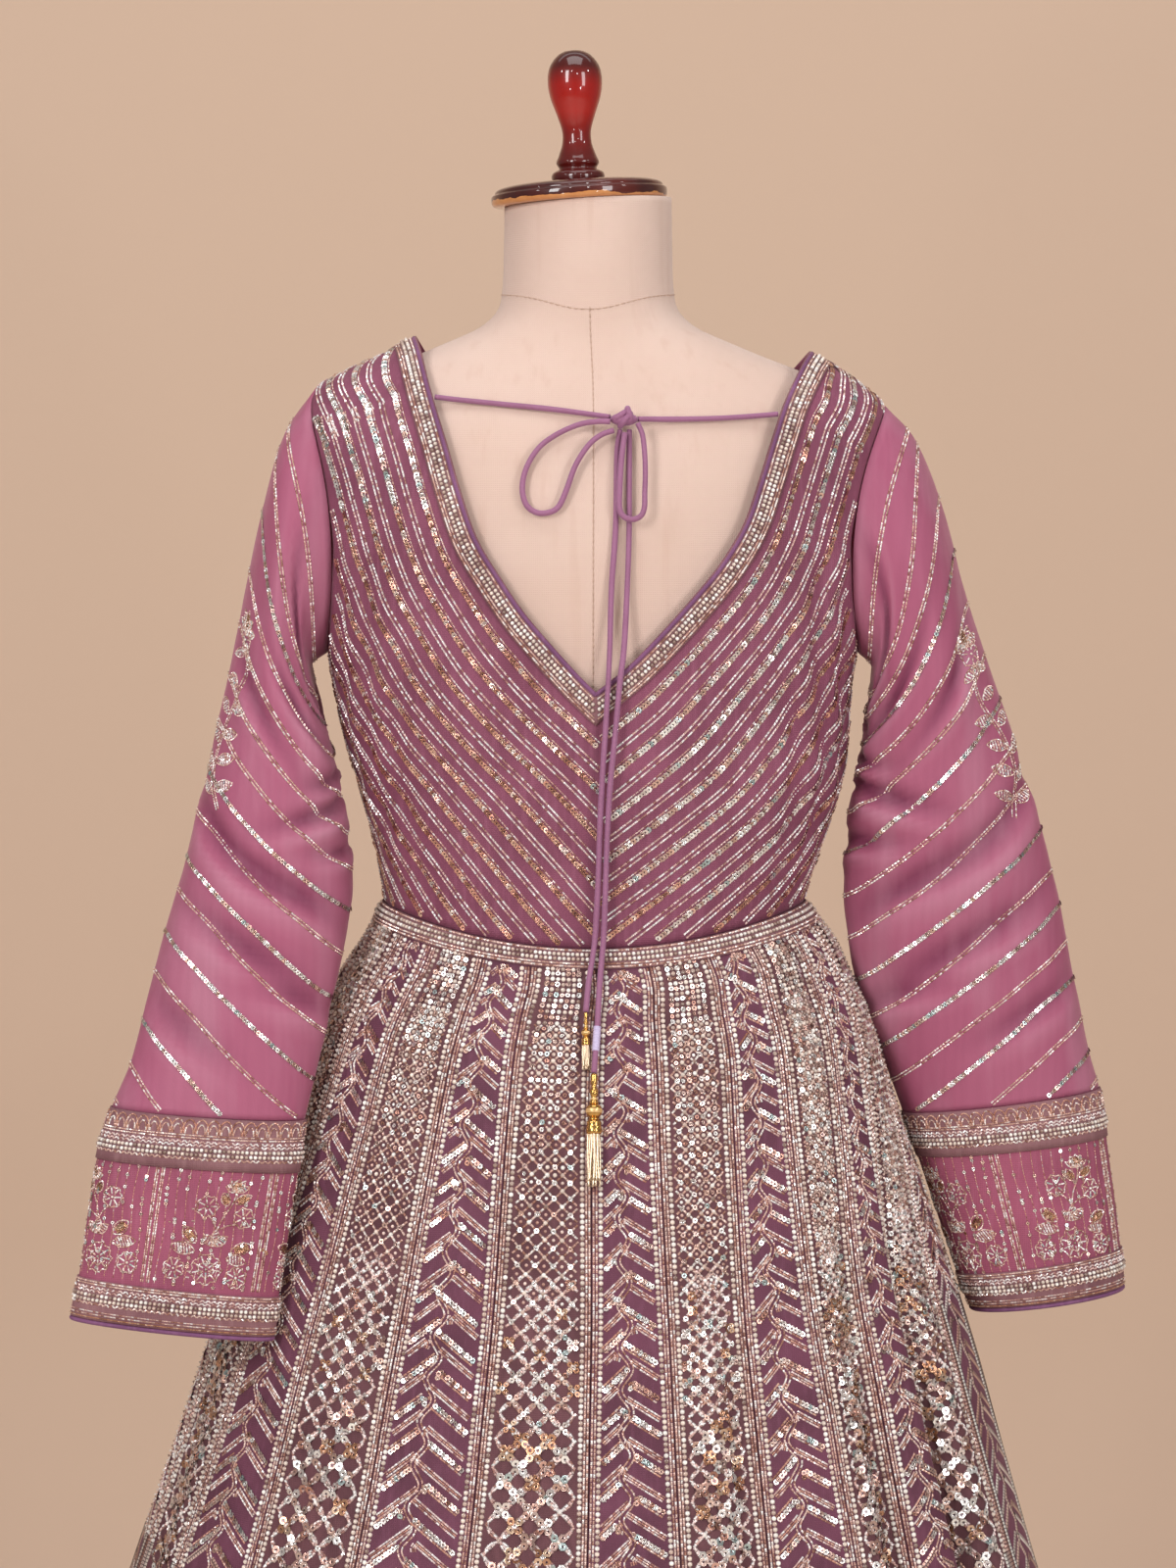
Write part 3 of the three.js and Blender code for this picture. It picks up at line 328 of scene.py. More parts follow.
class Finish:
    """A material being wired: add() makes a node, links its inputs and returns its first output."""

    def __init__(self, name, **sockets):
        self.material = bpy.data.materials.new(name)
        self.material.use_nodes = True
        self.tree = self.material.node_tree
        self.shader = self.tree.nodes["Principled BSDF"]
        self.output = self.tree.nodes["Material Output"]
        self.set(self.shader, sockets)
        self.place = self.add("ShaderNodeTexCoord")
        self.object = self.tree.nodes[-1].outputs["Object"]

    def set(self, node, sockets):
        for key, value in sockets.items():
            key = int(key[1:]) if key[0] == "_" else key.replace("_", " ")
            if isinstance(value, bpy.types.NodeSocket):
                self.tree.links.new(value, node.inputs[key])
            else:
                node.inputs[key].default_value = value

    def add(self, kind, props=None, out=0, **sockets):
        node = self.tree.nodes.new(kind)
        for key, value in (props or {}).items():
            setattr(node, key, value)
        self.set(node, sockets)
        return node.outputs[out]

    def noise(self, scale, detail=3.0, stretch=(1, 1, 1), rough=0.5, where=None):
        place = self.add("ShaderNodeMapping", Vector=where or self.object, Scale=stretch)
        return self.add("ShaderNodeTexNoise", Vector=place, Scale=scale, Detail=detail, Roughness=rough)

    def ramp(self, fac, *stops):
        node = self.tree.nodes.new("ShaderNodeValToRGB")
        self.tree.links.new(fac, node.inputs[0])
        elements = node.color_ramp.elements
        while len(elements) < len(stops):
            elements.new(0.5)
        for element, (at, shade) in zip(elements, stops):
            element.position = at
            element.color = colour(shade) if isinstance(shade, str) else (shade, shade, shade, 1)
        return node.outputs[0]

    def blend(self, fac, a, b, how="MIX"):
        node = self.tree.nodes.new("ShaderNodeMix")
        node.data_type = "RGBA"
        node.blend_type = how
        for key, value in ((0, fac), (6, a), (7, b)):
            if isinstance(value, str):
                value = colour(value)
            self.set(node, {f"_{key}": value})
        return node.outputs[2]

    def math(self, how, *values):
        node = self.tree.nodes.new("ShaderNodeMath")
        node.operation = how
        for i, value in enumerate(values):
            self.set(node, {f"_{i}": value})
        return node.outputs[0]

    def bump(self, height, distance, strength=1.0):
        return self.add("ShaderNodeBump", Height=height, Distance=distance, Strength=strength)

    def done(self, **sockets):
        self.set(self.shader, sockets)
        return self.material


def woven(name, base, shade, light, rough=0.7, sheen=0.12, grain=1500):
    """Cloth: a fine over-and-under weave in the bump, and soft changes of colour over it."""
    f = Finish(name, Roughness=rough, Sheen_Weight=sheen, Sheen_Roughness=0.4,
               Sheen_Tint=colour("f0c0c8"), Specular_IOR_Level=0.3)
    warp = f.add("ShaderNodeTexWave", {"bands_direction": "X"}, out=1, Vector=f.object,
                 Scale=grain / 6, Distortion=1.5, Detail=1.0)
    weft = f.add("ShaderNodeTexWave", {"bands_direction": "Z"}, out=1, Vector=f.object,
                 Scale=grain / 6, Distortion=1.5, Detail=1.0)
    slub = f.noise(240, 2, (1, 1, 0.08))
    cloudy = f.noise(22, 4)
    tone = f.blend(f.ramp(cloudy, (0.35, 0.0), (0.68, 1.0)), shade, base)
    tone = f.blend(f.math("MULTIPLY", f.ramp(slub, (0.5, 0.0), (0.75, 1.0)), 0.35), tone, light)
    height = f.math("ADD", f.math("MULTIPLY", warp, weft), f.math("MULTIPLY", slub, 0.6))
    return f.done(Base_Color=tone, Normal=f.bump(height, 0.0003, 0.5))


plum_silk = woven("plum_silk", "884a61", "773e53", "9a5c74")
vine_silk = woven("vine_silk", "6e3c50", "5a3040", "7e4c62")
# The lattice gores' ground is darker and browner than the bodice's plum: thread between its close beads and painted
# shade.
lattice_silk = woven("lattice_silk", "6a4248", "553238", "7c5056")
cuff_silk = woven("cuff_silk", "9c5068", "8a455b", "ae667e")
piping_silk = woven("piping_silk", "7f4f74", "6c4063", "956788", 0.6)
band_silk = woven("band_silk", "8c6266", "724a50", "a07a7c")


def sheer_organza():
    """Crisp see-through cloth: the threads spread light, and a watered ripple runs down it. Its creases
    carry painted shade in their troughs and painted highlight on their ridges.
    """
    f = Finish("sheer_organza", Roughness=0.5, Sheen_Weight=0.6, Sheen_Roughness=0.3,
               Sheen_Tint=colour("ffd0dc"), Specular_IOR_Level=0.25)
    ripple = f.add("ShaderNodeTexWave", {"bands_direction": "X"}, out=1,
                   Vector=f.add("ShaderNodeMapping", Vector=f.object, Scale=(1, 0.6, 0.16)),
                   Scale=42, Distortion=9.0, Detail=3.0, Detail_Scale=1.4)
    cloudy = f.noise(16, 4, (1, 1, 0.4))
    trough = f.add("ShaderNodeVertexColor", {"layer_name": "tone"})
    tone = f.blend(cloudy, "b25c7c", "c0728c")
    # Painted shade: darker towards 7c3454 deep in a crease's trough; painted highlight: paler towards d494aa on the
    # ridge beside it.
    tone = f.blend(f.ramp(trough, (0.3, 0.0), (0.85, 0.75)), tone, "7c3454")
    tone = f.blend(f.ramp(trough, (0.1, 0.5), (0.33, 0.0)), tone, "d494aa")
    streaked = f.ramp(f.noise(30, 5, (1, 1, 0.2)), (0.46, 0.0), (0.66, 1.0))
    tone = f.blend(f.math("MULTIPLY", streaked, 0.35), tone, "cc92a6")
    thread = f.noise(1500, 1, (1, 1, 0.2))
    f.done(Base_Color=tone, Normal=f.bump(f.math("ADD", thread, f.math("MULTIPLY", ripple, 0.3)), 0.0004, 0.35))
    through = f.add("ShaderNodeBsdfTranslucent", Color=tone)
    cloth = f.add("ShaderNodeMixShader", Fac=0.12, _1=f.shader.outputs[0], _2=through)
    clear = f.add("ShaderNodeBsdfTransparent", Color=colour("e8b8cc"))
    cover = f.math("ADD", 0.8, f.math("MULTIPLY", ripple, 0.03))
    sheer = f.add("ShaderNodeMixShader", Fac=cover, _1=clear, _2=cloth)
    f.tree.links.new(sheer, f.output.inputs[0])
    return f.material


organza = sheer_organza()


def bias_cord(name):
    """Rouleau cord of lilac cloth turned on the bias: a slanting weave and a soft edge."""
    f = Finish(name, Roughness=0.62, Sheen_Weight=0.4, Sheen_Tint=colour("e8c8f0"))
    slant = f.add("ShaderNodeTexWave", {"bands_direction": "DIAGONAL"}, out=1, Vector=f.object,
                  Scale=170, Distortion=2.0)
    tone = f.blend(f.noise(60, 3), "86506e", "9c6486")
    return f.done(Base_Color=tone, Normal=f.bump(slant, 0.0003, 0.35))


dori = bias_cord("dori")
binding_thread = bias_cord("binding_thread")
binding_thread.node_tree.nodes["Mix"].inputs[6].default_value = colour("b8a8cc")
binding_thread.node_tree.nodes["Mix"].inputs[7].default_value = colour("cfc2dd")


def stretched_linen():
    """Peach linen pulled over the form: visible threads, slubs and a faint tea stain."""
    f = Finish("stretched_linen", Roughness=0.85, Sheen_Weight=0.25, Specular_IOR_Level=0.2)
    warp = f.add("ShaderNodeTexWave", {"bands_direction": "X"}, out=1, Vector=f.object, Scale=230,
                 Distortion=1.2, Detail=2.0)
    weft = f.add("ShaderNodeTexWave", {"bands_direction": "Z"}, out=1, Vector=f.object, Scale=230,
                 Distortion=1.2, Detail=2.0)
    slub = f.noise(120, 3, (1, 1, 0.06))
    tone = f.blend(f.ramp(f.noise(7, 5), (0.35, 0.0), (0.7, 1.0)), "cdb0a2", "d6bcb0")
    tone = f.blend(f.math("MULTIPLY", f.ramp(slub, (0.55, 0.0), (0.8, 1.0)), 0.5), tone, "c4a292")
    height = f.math("ADD", f.math("MULTIPLY", warp, weft), slub)
    return f.done(Base_Color=tone, Normal=f.bump(height, 0.0004, 0.4))


linen = stretched_linen()
stitch_thread = woven("stitch_thread", "c4a692", "b89884", "ceb4a2", 0.8, 0.1)


def red_lacquer(name, chipped):
    """Clear-coated red brown stain, darker at the ends, rubbed through to the wood along a lower edge."""
    f = Finish(name, Roughness=0.35, Specular_IOR_Level=0.15, Coat_Weight=1.0, Coat_Roughness=0.04, Coat_IOR=1.5)
    height = f.add("ShaderNodeSeparateXYZ", out=2, Vector=f.object)
    streak = f.noise(26, 4, (1, 1, 0.12))
    if chipped:
        stain = f.blend(f.ramp(streak, (0.4, 0.0), (0.65, 1.0)), "3a0d0a", "5d1a10")
        slope = f.math("MULTIPLY", f.add("ShaderNodeSeparateXYZ", Vector=f.object), 0.05)
        level = f.math("ADD", f.math("SUBTRACT", height, slope), f.math("MULTIPLY", f.noise(38, 4), 0.012))
        low = f.math("LESS_THAN", level, 1.5)
        stain = f.blend(low, stain, f.blend(f.noise(160, 3), "b06a34", "cf9058"))
    else:
        stain = f.ramp(f.add("ShaderNodeMapRange", Value=height, From_Min=1.505, From_Max=1.592),
                       (0.0, "480a06"), (0.2, "5e0d07"), (0.36, "800e06"), (0.52, "b41206"),
                       (0.72, "a01005"), (0.86, "4c0a06"), (1.0, "360606"))
        stain = f.blend(f.math("MULTIPLY", streak, 0.35), stain, "3c0a08")
    return f.done(Base_Color=stain, Coat_Normal=f.bump(f.noise(9, 2), 0.001, 0.05))


finial_lacquer = red_lacquer("finial_lacquer", False)
cap_lacquer = red_lacquer("cap_lacquer", True)


def painted_steel():
    f = Finish("painted_steel", Metallic=0.7)
    wear_and_painted_rim_shade = f.noise(60, 5)
    return f.done(Base_Color=f.blend(wear_and_painted_rim_shade, "3b3937", "4d4a47"),
                  Roughness=f.ramp(wear_and_painted_rim_shade, (0.3, 0.35), (0.7, 0.5)), Normal=f.bump(f.noise(900, 2), 0.0002, 0.2))


steel = painted_steel()


def beaded(name, rough, metal, coat=0.0, edge="ROUND"):
    """Beads of one make: each takes its colour from its own tone. A sequin is dark at its hole; a round or
    long bead is painted darker towards its edges, as shade where it sits on its thread. The mark holds a
    place on the bead: its middle is 0 and its rim is 1."""
    f = Finish(name, Roughness=rough, Metallic=metal, Coat_Weight=coat, Coat_Roughness=0.08)
    tone = f.add("ShaderNodeVertexColor", {"layer_name": "tone"})
    where = f.add("ShaderNodeUVMap", {"uv_map": "mark"})
    radius = f.add("ShaderNodeVectorMath", {"operation": "LENGTH"}, out=1, _0=where)
    if edge == "HOLE":
        tone = f.blend(f.ramp(radius, (0.2, 1.0), (0.3, 0.0)), tone, "3c1f30")
        rim = f.ramp(radius, (0.25, 0.0), (0.45, 1.0), (0.8, 1.0), (1.0, 0.4))
        return f.done(Base_Color=tone, Normal=f.bump(rim, 0.0003, 0.5))
    # Painted shade: round beads darken towards their rim and long ones towards their long edges, blended to 4a2c2e
    # where they meet the cloth.
    if edge == "ROUND":
        wear_and_painted_rim_shade = f.ramp(radius, (0.45, 0.0), (0.8, 0.45), (1.0, 1.0))
    else:
        across = f.math("ABSOLUTE", f.add("ShaderNodeSeparateXYZ", out=1, Vector=where))
        wear_and_painted_rim_shade = f.ramp(across, (0.25, 0.0), (0.6, 0.8), (0.75, 1.0))
    return f.done(Base_Color=f.blend(f.math("MULTIPLY", wear_and_painted_rim_shade, 0.85), tone, "4a2c2e"))


cut_glass = beaded("cut_glass", 0.24, 0.2, 0.8, "LONG")
sequin_foil = beaded("sequin_foil", 0.22, 0.75, 0.4, "HOLE")
pearl_glaze = beaded("pearl_glaze", 0.24, 0.0, 0.8)


def strung_beads():
    """Rows of beads seen as one strip: the mark's first number runs in millimetres along it."""
    f = Finish("strung_beads", Roughness=0.3, Metallic=0.4, Coat_Weight=0.4, Coat_Roughness=0.1)
    tone = f.add("ShaderNodeVertexColor", {"layer_name": "tone"})
    where = f.add("ShaderNodeSeparateXYZ", Vector=f.add("ShaderNodeUVMap", {"uv_map": "mark"}))
    along, across = (f.tree.nodes[-1].outputs[k] for k in (0, 1))
    shift = f.math("MULTIPLY", f.math("GREATER_THAN", across, 0.0), 1.2)
    beat = f.math("ABSOLUTE", f.math("SINE", f.math("MULTIPLY", f.math("ADD", along, shift), np.pi / 2.4)))
    split = f.math("ABSOLUTE", f.math("SUBTRACT", f.math("ABSOLUTE", across), 0.05))
    body = f.math("MULTIPLY", f.ramp(beat, (0.15, 0.0), (0.45, 1.0)), f.ramp(split, (0.0, 0.1), (0.25, 1.0)))
    # The gaps between beads and between the two rows are darkened towards 50303c: thread and cloth seen there, with
    # painted shade between the beads.
    shade = f.blend(body, "50303c", tone)
    return f.done(Base_Color=shade, Normal=f.bump(body, 0.0008, 0.9))


bead_ribbon = strung_beads()


def plated(name, base, deep, rough=0.18):
    """Polished plating with darker, duller hollows."""
    f = Finish(name, Metallic=1.0, Roughness=rough)
    dull = f.noise(300, 4)
    return f.done(Base_Color=f.blend(dull, deep, base), Normal=f.bump(dull, 0.0001, 0.3))


gold_plate = plated("gold_plate", "e4b670", "bc8a48")
champagne_beads = plated("champagne_beads", "f2e2cc", "ccae88", 0.34)
tassel_pearl = plated("tassel_pearl", "f0c890", "d8a868", 0.22)
tassel_pearl.node_tree.nodes["Principled BSDF"].inputs["Metallic"].default_value = 0.35

# ---------------------------------------------------------------- the tie, its knot and its tassels


def tube(points, radius, sides=12, swell=None):
    """A round section carried along a path, with a frame that turns as little as it can. swell gives
    the section's two half sizes as shares of the radius, at each point."""
    along = unit(np.gradient(points, axis=0))
    side = np.zeros_like(along)
    side[0] = unit(np.cross(along[0], (0.31, 0.2, 0.93)))
    for i in range(1, len(along)):
        side[i] = unit(side[i - 1] - along[i] * (side[i - 1] @ along[i]))
    up = np.cross(along, side)
    turns = np.arange(sides) * TURN / sides
    a, b = (np.ones(len(points)),) * 2 if swell is None else swell
    ring = (side[:, None] * np.cos(turns)[None, :, None] * a[:, None, None]
            + up[:, None] * np.sin(turns)[None, :, None] * b[:, None, None])
    body = points[:, None] + ring * radius
    ends = np.stack([points[0], points[-1]])
    count = len(points)
    quads = grid_quads(count, sides, True)
    j = np.arange(sides)
    k = (j + 1) % sides
    caps = np.concatenate([
        np.stack([k, j, np.full(sides, count * sides)], -1),
        np.stack([j + (count - 1) * sides, k + (count - 1) * sides, np.full(sides, count * sides + 1)], -1)])
    return np.concatenate([body.reshape(-1, 3), ends]), [quads, caps]


def lathe(profile, facets, centre=(0, 0, 0), tilt=0.0):
    """A profile of (radius, height) turned about +Z, then leaned by tilt towards +X, and placed."""
    profile = np.array(profile, float)
    turns = np.arange(facets) * TURN / facets
    radius, height = profile[:, 0][:, None], profile[:, 1][:, None]
    points = np.stack([radius * np.cos(turns), radius * np.sin(turns), height + 0 * turns], -1)
    points = points.reshape(-1, 3)
    points = np.concatenate([points, [[0, 0, profile[0, 1]], [0, 0, profile[-1, 1]]]])
    quads = grid_quads(len(profile), facets, True)
    j = np.arange(facets)
    k = (j + 1) % facets
    last = (len(profile) - 1) * facets
    caps = np.concatenate([np.stack([k, j, np.full(facets, last + facets)], -1),
                           np.stack([j + last, k + last, np.full(facets, last + facets + 1)], -1)])
    lean = np.array([[np.cos(tilt), 0, np.sin(tilt)], [0, 1, 0], [-np.sin(tilt), 0, np.cos(tilt)]])
    return points @ lean.T + np.array(centre), [quads, caps]


def joined(shapes):
    """Several (points, faces) as one, and the number of the shape that each face comes from."""
    points, faces, which, base = [], [], [], 0
    for number, (p, groups) in enumerate(shapes):
        points.append(p)
        for group in groups:
            faces.append(group + base)
            which.append(np.full(len(group), number))
        base += len(p)
    return np.concatenate(points), faces, np.concatenate(which)


def rounded_profile(rows, steps):
    """A smooth curve through a turned profile's rows, from its foot up."""
    key = "height" if "height" in rows else "down"
    at = np.linspace(rows[key][0], rows[key][-1], steps)
    return np.stack([np.maximum(curve_value(rows, key, "radius", at), 0.05), at], -1)


def tassel(name, top, lean, scale, strand):
    """Gold beads over a bell, and a fringe of strung champagne beads that hangs from its mouth."""
    at = np.linspace(0, 39.2, 90)
    head = lathe(np.stack([np.maximum(curve_value(TASSEL_HEAD, "down", "radius", at), 0.05) * scale,
                           -at * scale], -1)[::-1], 20)
    shapes, kinds = [head], [0]
    for ring, (down, wide, kind) in enumerate([(12.2, 2.9, 0), (16.6, 2.4, 2), (19, 3.1, 0),
                                               (24, 5.5, 2), (29.4, 3.6, 0), (32, 5.0, 0)]):
        bead = np.linspace(-np.pi / 2, np.pi / 2, 7)
        tall = {5.5: 4.4}.get(wide, 1.3)
        shapes.append(lathe(np.stack([np.maximum(np.cos(bead), 0.02) * wide * scale,
                                      (-down + np.sin(bead) * tall) * scale], -1), 20))
        kinds.append(kind)
    for i in range(2 * TASSEL_STRANDS):
        turn, out = i * TURN * 0.618, 0.6 + 2.9 * np.sqrt(i / (2 * TASSEL_STRANDS))
        drop = np.linspace(0, 1, 26)
        sway = 0.5 * np.sin(3 * drop + i)
        line = np.stack([out * (1 + 0.32 * drop) * np.cos(turn) + sway, out * (1 + 0.25 * drop) * np.sin(turn),
                         -38 - drop * strand / scale * (0.93 + 0.07 * np.cos(i * 2.1))], -1) * scale
        beads = 0.62 + 0.38 * np.abs(np.sin(np.arange(26) * np.pi / 2))
        shapes.append(tube(line, 0.95 * scale, 6, (beads, beads)))
        kinds.append(1)
    points, faces, which = joined(shapes)
    c, s = np.cos(lean), np.sin(lean)
    points = points @ np.array([[1, 0, 0], [0, c, -s], [0, s, c]]).T + np.array(top)
    made = piece(name + "_beads", points, faces, [gold_plate, champagne_beads, tassel_pearl],
                 np.array(kinds)[which])
    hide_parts(name)
    return made


tassels = {name: tassel(name, **sizes) for name, sizes in TASSELS.items()}


def wrapped_knot():
    """The half hitch between the loops: three flat turns of the cord over a soft core."""
    core = lathe([(np.cos(a) * 1.0, np.sin(a)) for a in np.linspace(-1.5, 1.5, 14)], 24)
    core = (core[0] * (KNOT["halfWidth"], KNOT["halfDepth"], KNOT["halfHeight"] * 0.7),
            core[1])
    shapes = [core]
    for tilt, across, reach in ((-0.7, -3.6, 0.9), (-0.4, 0.9, 1.0), (0.65, 4.6, 0.84)):
        turns = np.linspace(0, TURN, 34)
        ring = np.stack([across + 1.4 * np.cos(turns), 4.7 * np.sin(turns) * reach,
                         4.9 * np.cos(turns) * reach], -1)
        c, s = np.cos(tilt), np.sin(tilt)
        ring = ring @ np.array([[c, 0, -s], [0, 1, 0], [s, 0, c]]).T
        shapes.append(tube(ring, 2.0, 10))
    points, faces, _ = joined(shapes)
    made = piece("tie_knot_wraps", points + (KNOT["x"], KNOT["y"], KNOT["z"]), faces, [dori])
    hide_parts("tie_knot")
    return made


knot = wrapped_knot()


def tail_binding(points):
    """Close turns of pale thread over a tail, a little above its tassel."""
    part = points[(points[:, 2] > 945) & (points[:, 2] < 962)]
    fine = np.stack([np.interp(np.linspace(0, len(part) - 1, 40), np.arange(len(part)), part[:, k])
                     for k in range(3)], -1)
    turns = 1 + 0.07 * np.sin(np.arange(40) * TURN / 4)
    made = piece("tail_binding", *tube(fine, 2.5, 12, (turns, turns * 0.95)), [binding_thread])
    return made


def tie_cord(name, route):
    """One stretch of the tie: a cloth rouleau, a little flattened and puckered along its seam."""
    points, length = path_through(route, 2.0)
    rng = np.random.default_rng(len(name) + len(route))
    marks = np.arange(0, len(points) + 12, 12)
    slow = np.interp(np.arange(len(points)), marks, rng.uniform(-1, 1, len(marks)))
    wide = 1.0 + 0.07 * slow
    deep = 0.9 - 0.06 * slow
    body = tube(points, TIE_DIAMETER / 2, 12, (wide, deep))
    made = piece(name + "_cord", body[0], body[1], [dori])
    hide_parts(name)
    hung = {"tie_tail_left": "tassel_short", "tie_tail_right": "tassel_long"}.get(name)
    (([tassels[hung]] if hung else [])
            + ([tail_binding(points)] if hung == "tassel_long" else []))
    return made


tie = {name: tie_cord(name, route) for name, route in TIE_ROUTES.items()}

# ---------------------------------------------------------------- the dress form


def form_surface(angle, z):
    """Ellipse whose half width and depth follow the form's rings; the neck's top rises to +X."""
    half, back, front = columns_at(FORM_RINGS, "z", z, "halfWidth back front")
    depth = np.where(np.cos(angle) >= 0, back, front)
    tilt = np.tan(NECK_TILT) * half * np.sin(angle) * smooth((z - 1440) / 45)
    return np.stack([FORM_X + half * np.sin(angle), -depth * np.cos(angle), z + tilt], -1)


def dress_form():
    """The padded form as one skin. Its seams, at the centre back, centre front and neck base, are sewn on
    by form_seams.
    """
    angles = np.arange(96) * TURN / 96
    levels = np.concatenate([np.linspace(750, 1360, 52), np.linspace(1365, 1491, 34)])
    body = form_surface(angles[None, :] + 0 * levels[:, None], levels[:, None] + 0 * angles[None, :])
    points = body.reshape(-1, 3)
    count = len(points)
    ends = np.stack([body[0].mean(0), body[-1].mean(0)])
    j = np.arange(96)
    k = (j + 1) % 96
    caps = np.concatenate([np.stack([k, j, np.full(96, count)], -1),
                           np.stack([j + count - 96, k + count - 96, np.full(96, count + 1)], -1)])
    made = piece("form_body", np.concatenate([points, ends]), [grid_quads(len(levels), 96, True), caps],
                 [linen])
    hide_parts("form_torso")
    return made


def neck_base(angle):
    """Height of the neck's base seam: it dips at the centre back."""
    return 1431 - 9 * np.exp(-(angle / 0.55) ** 2) + 3 * np.cos(angle - np.pi)


def form_seams():
    """Backstitches along each seam, over a narrow rolled edge."""
    shapes = []
    for angle_of, z_of, start, end in (
            (lambda t: 0 * t + 0.02, lambda t: t, 1128, 1421), (lambda t: 0 * t + np.pi, lambda t: t, 1240, 1432),
            (lambda t: t, neck_base, 0, TURN)):
        t = np.linspace(start, end, 600)
        wrapped = (angle_of(t) + np.pi) % TURN - np.pi
        line = form_surface(wrapped, z_of(t if end > 10 else wrapped))
        along = np.concatenate([[0], np.cumsum(np.linalg.norm(np.diff(line, axis=0), axis=1))])
        roll = np.stack([np.interp(np.linspace(0, along[-1], int(along[-1] / 6)), along, line[:, k])
                         for k in range(3)], -1)
        shapes.append(tube(roll, 0.22, 5))
        for at in np.arange(1.5, along[-1] - 3, 4.2):
            stitch = np.stack([np.interp([at, at + 1.2, at + 2.4], along, line[:, k]) for k in range(3)], -1)
            outward = unit(stitch * (1, 1, 0) - (FORM_X, 0, 0))
            shapes.append(tube(stitch + outward * np.array([0.1, 0.45, 0.1])[:, None], 0.32, 4))
    points, faces, _ = joined(shapes)
    made = piece("form_stitching", points, faces, [stitch_thread])
    return made


form_body = dress_form()
form_stitching = form_seams()


def crown(name, profile, facets, lift, tilt, finish):
    """A turned piece set on the form's neck, along the neck's own tilted axis."""
    c, s = np.cos(NECK_TILT), np.sin(NECK_TILT)
    centre = (CAP["x"] - s * lift, 0, CAP["z"] + c * lift)
    points, faces = lathe(profile, facets, centre, -NECK_TILT + tilt)
    made = piece(name + "_turned", points, faces, [finish])
    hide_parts(name)
    return made


rim = CAP["radius"]
cap_curve = table("height radius", [
    (0, rim - 3), (0.5, rim - 1.6), (1.6, rim - 0.5), (3.2, rim), (6.2, rim), (7.4, rim - 0.6), (8.2, rim - 2.2),
    (9.0, rim - 2.4), (10.4, rim - 3.2), (11.6, rim - 5.4), (12.6, rim - 10), (13.2, rim - 18), (14, 1)])
crown("form_cap", rounded_profile(cap_curve, 60), 96, 0, 0, cap_lacquer)
crown("form_finial", rounded_profile(FINIAL_PROFILE, 90), 56, CAP["thickness"] + SEAM_GAP,
      NECK_TILT + FINIAL_LEAN, finial_lacquer)


def stand():
    """The pole and its round base, with a bevelled edge and a collar where the pole enters."""
    r, h, p = STAND["baseRadius"], STAND["baseHeight"], STAND["poleRadius"]
    edge = [(r - 5 * (1 - np.cos(a)), h - 5 * (1 - np.sin(a))) for a in np.linspace(0, np.pi / 2, 8)]
    base = piece("stand_base", *lathe([(r - 1, 0), (r, 1), *edge, (40, h), (1, h)], 120), [steel])
    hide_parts("form_base")
    top = FORM_RINGS["z"][0] - SEAM_GAP
    pole = piece("stand_pole", *lathe([
        (p + 6, h + SEAM_GAP), (p + 6, h + 10), (p + 4, h + 13), (p, h + 14), (p, 600), (p + 1.5, 601),
        (p + 1.5, 622), (p, 623), (p, top - 1), (p - 1, top)], 48), [steel])
    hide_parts("form_pole")


stand()

# ---------------------------------------------------------------- the gown's surfaces


def gown_at(angle, z):
    """The worn bodice: an ellipse at each height; the angle runs from the centre back to +X."""
    shift, half, back, front = columns_at(GOWN_RINGS, "z", z, "shift halfWidth back front")
    depth = np.where(np.cos(angle) >= 0, back, front)
    return np.stack([shift + half * np.sin(angle), -depth * np.cos(angle), z + 0 * angle], -1)


def gown_depth(face, z):
    return curve_value(GOWN_RINGS, "z", face, z)


def armhole_angle(z, side, face):
    """How far from the face's centre the armhole's edge lies at a height, as an angle."""
    share = np.clip((z - UNDERARM_Z) / (SHOULDER_POINT_Z[side] - UNDERARM_Z), 0, 1)
    reach = ARMHOLE_HALF_DEPTH * np.sqrt(np.maximum(4 * share * (1 - share), 0)) / gown_depth(face, z)
    return np.arccos(np.clip(reach, -1, 1))


def bodice_surface(angle, z):
    """The worn bodice with the soft folds that run down from each armhole to the waist."""
    around = (angle + np.pi) % TURN - np.pi
    face_angle = np.where(np.abs(around) > np.pi / 2, np.pi - np.abs(around), np.abs(around))
    side = np.where(around > 0, 1.0, 0.62)
    under = smooth((face_angle - 0.62) / 0.4) * smooth((1.5 - face_angle) / 0.2)
    tall = smooth((z - 1040) / 50) * smooth((1300 - z) / 60)
    slant = (z - 1180) * 0.16 + face_angle * 150
    relief = 1.5 * side * under * tall * np.sin(slant / 5.2 + 1.1 * np.sin(z / 31))
    drag = (z - 1215) + face_angle * 60
    relief = relief + 1.1 * side * under * tall * np.sin(drag / 7.5)
    point = gown_at(angle, z)
    return point + np.stack([np.sin(angle), -np.cos(angle), 0 * relief], -1) * relief[..., None]


def angle_of(x, z):
    shift, half = columns_at(GOWN_RINGS, "z", z, "shift halfWidth")
    return np.arcsin(np.clip((x - shift) / half, -1, 1))


def waist_seam(angle):
    """The waist seam dips at the centre back and front and rises to the sides."""
    middle = np.where(np.cos(angle) >= 0, WAIST_SEAM["back"], WAIST_SEAM["front"])
    return mix(middle, WAIST_SEAM["side"], np.sin(angle) ** 2)


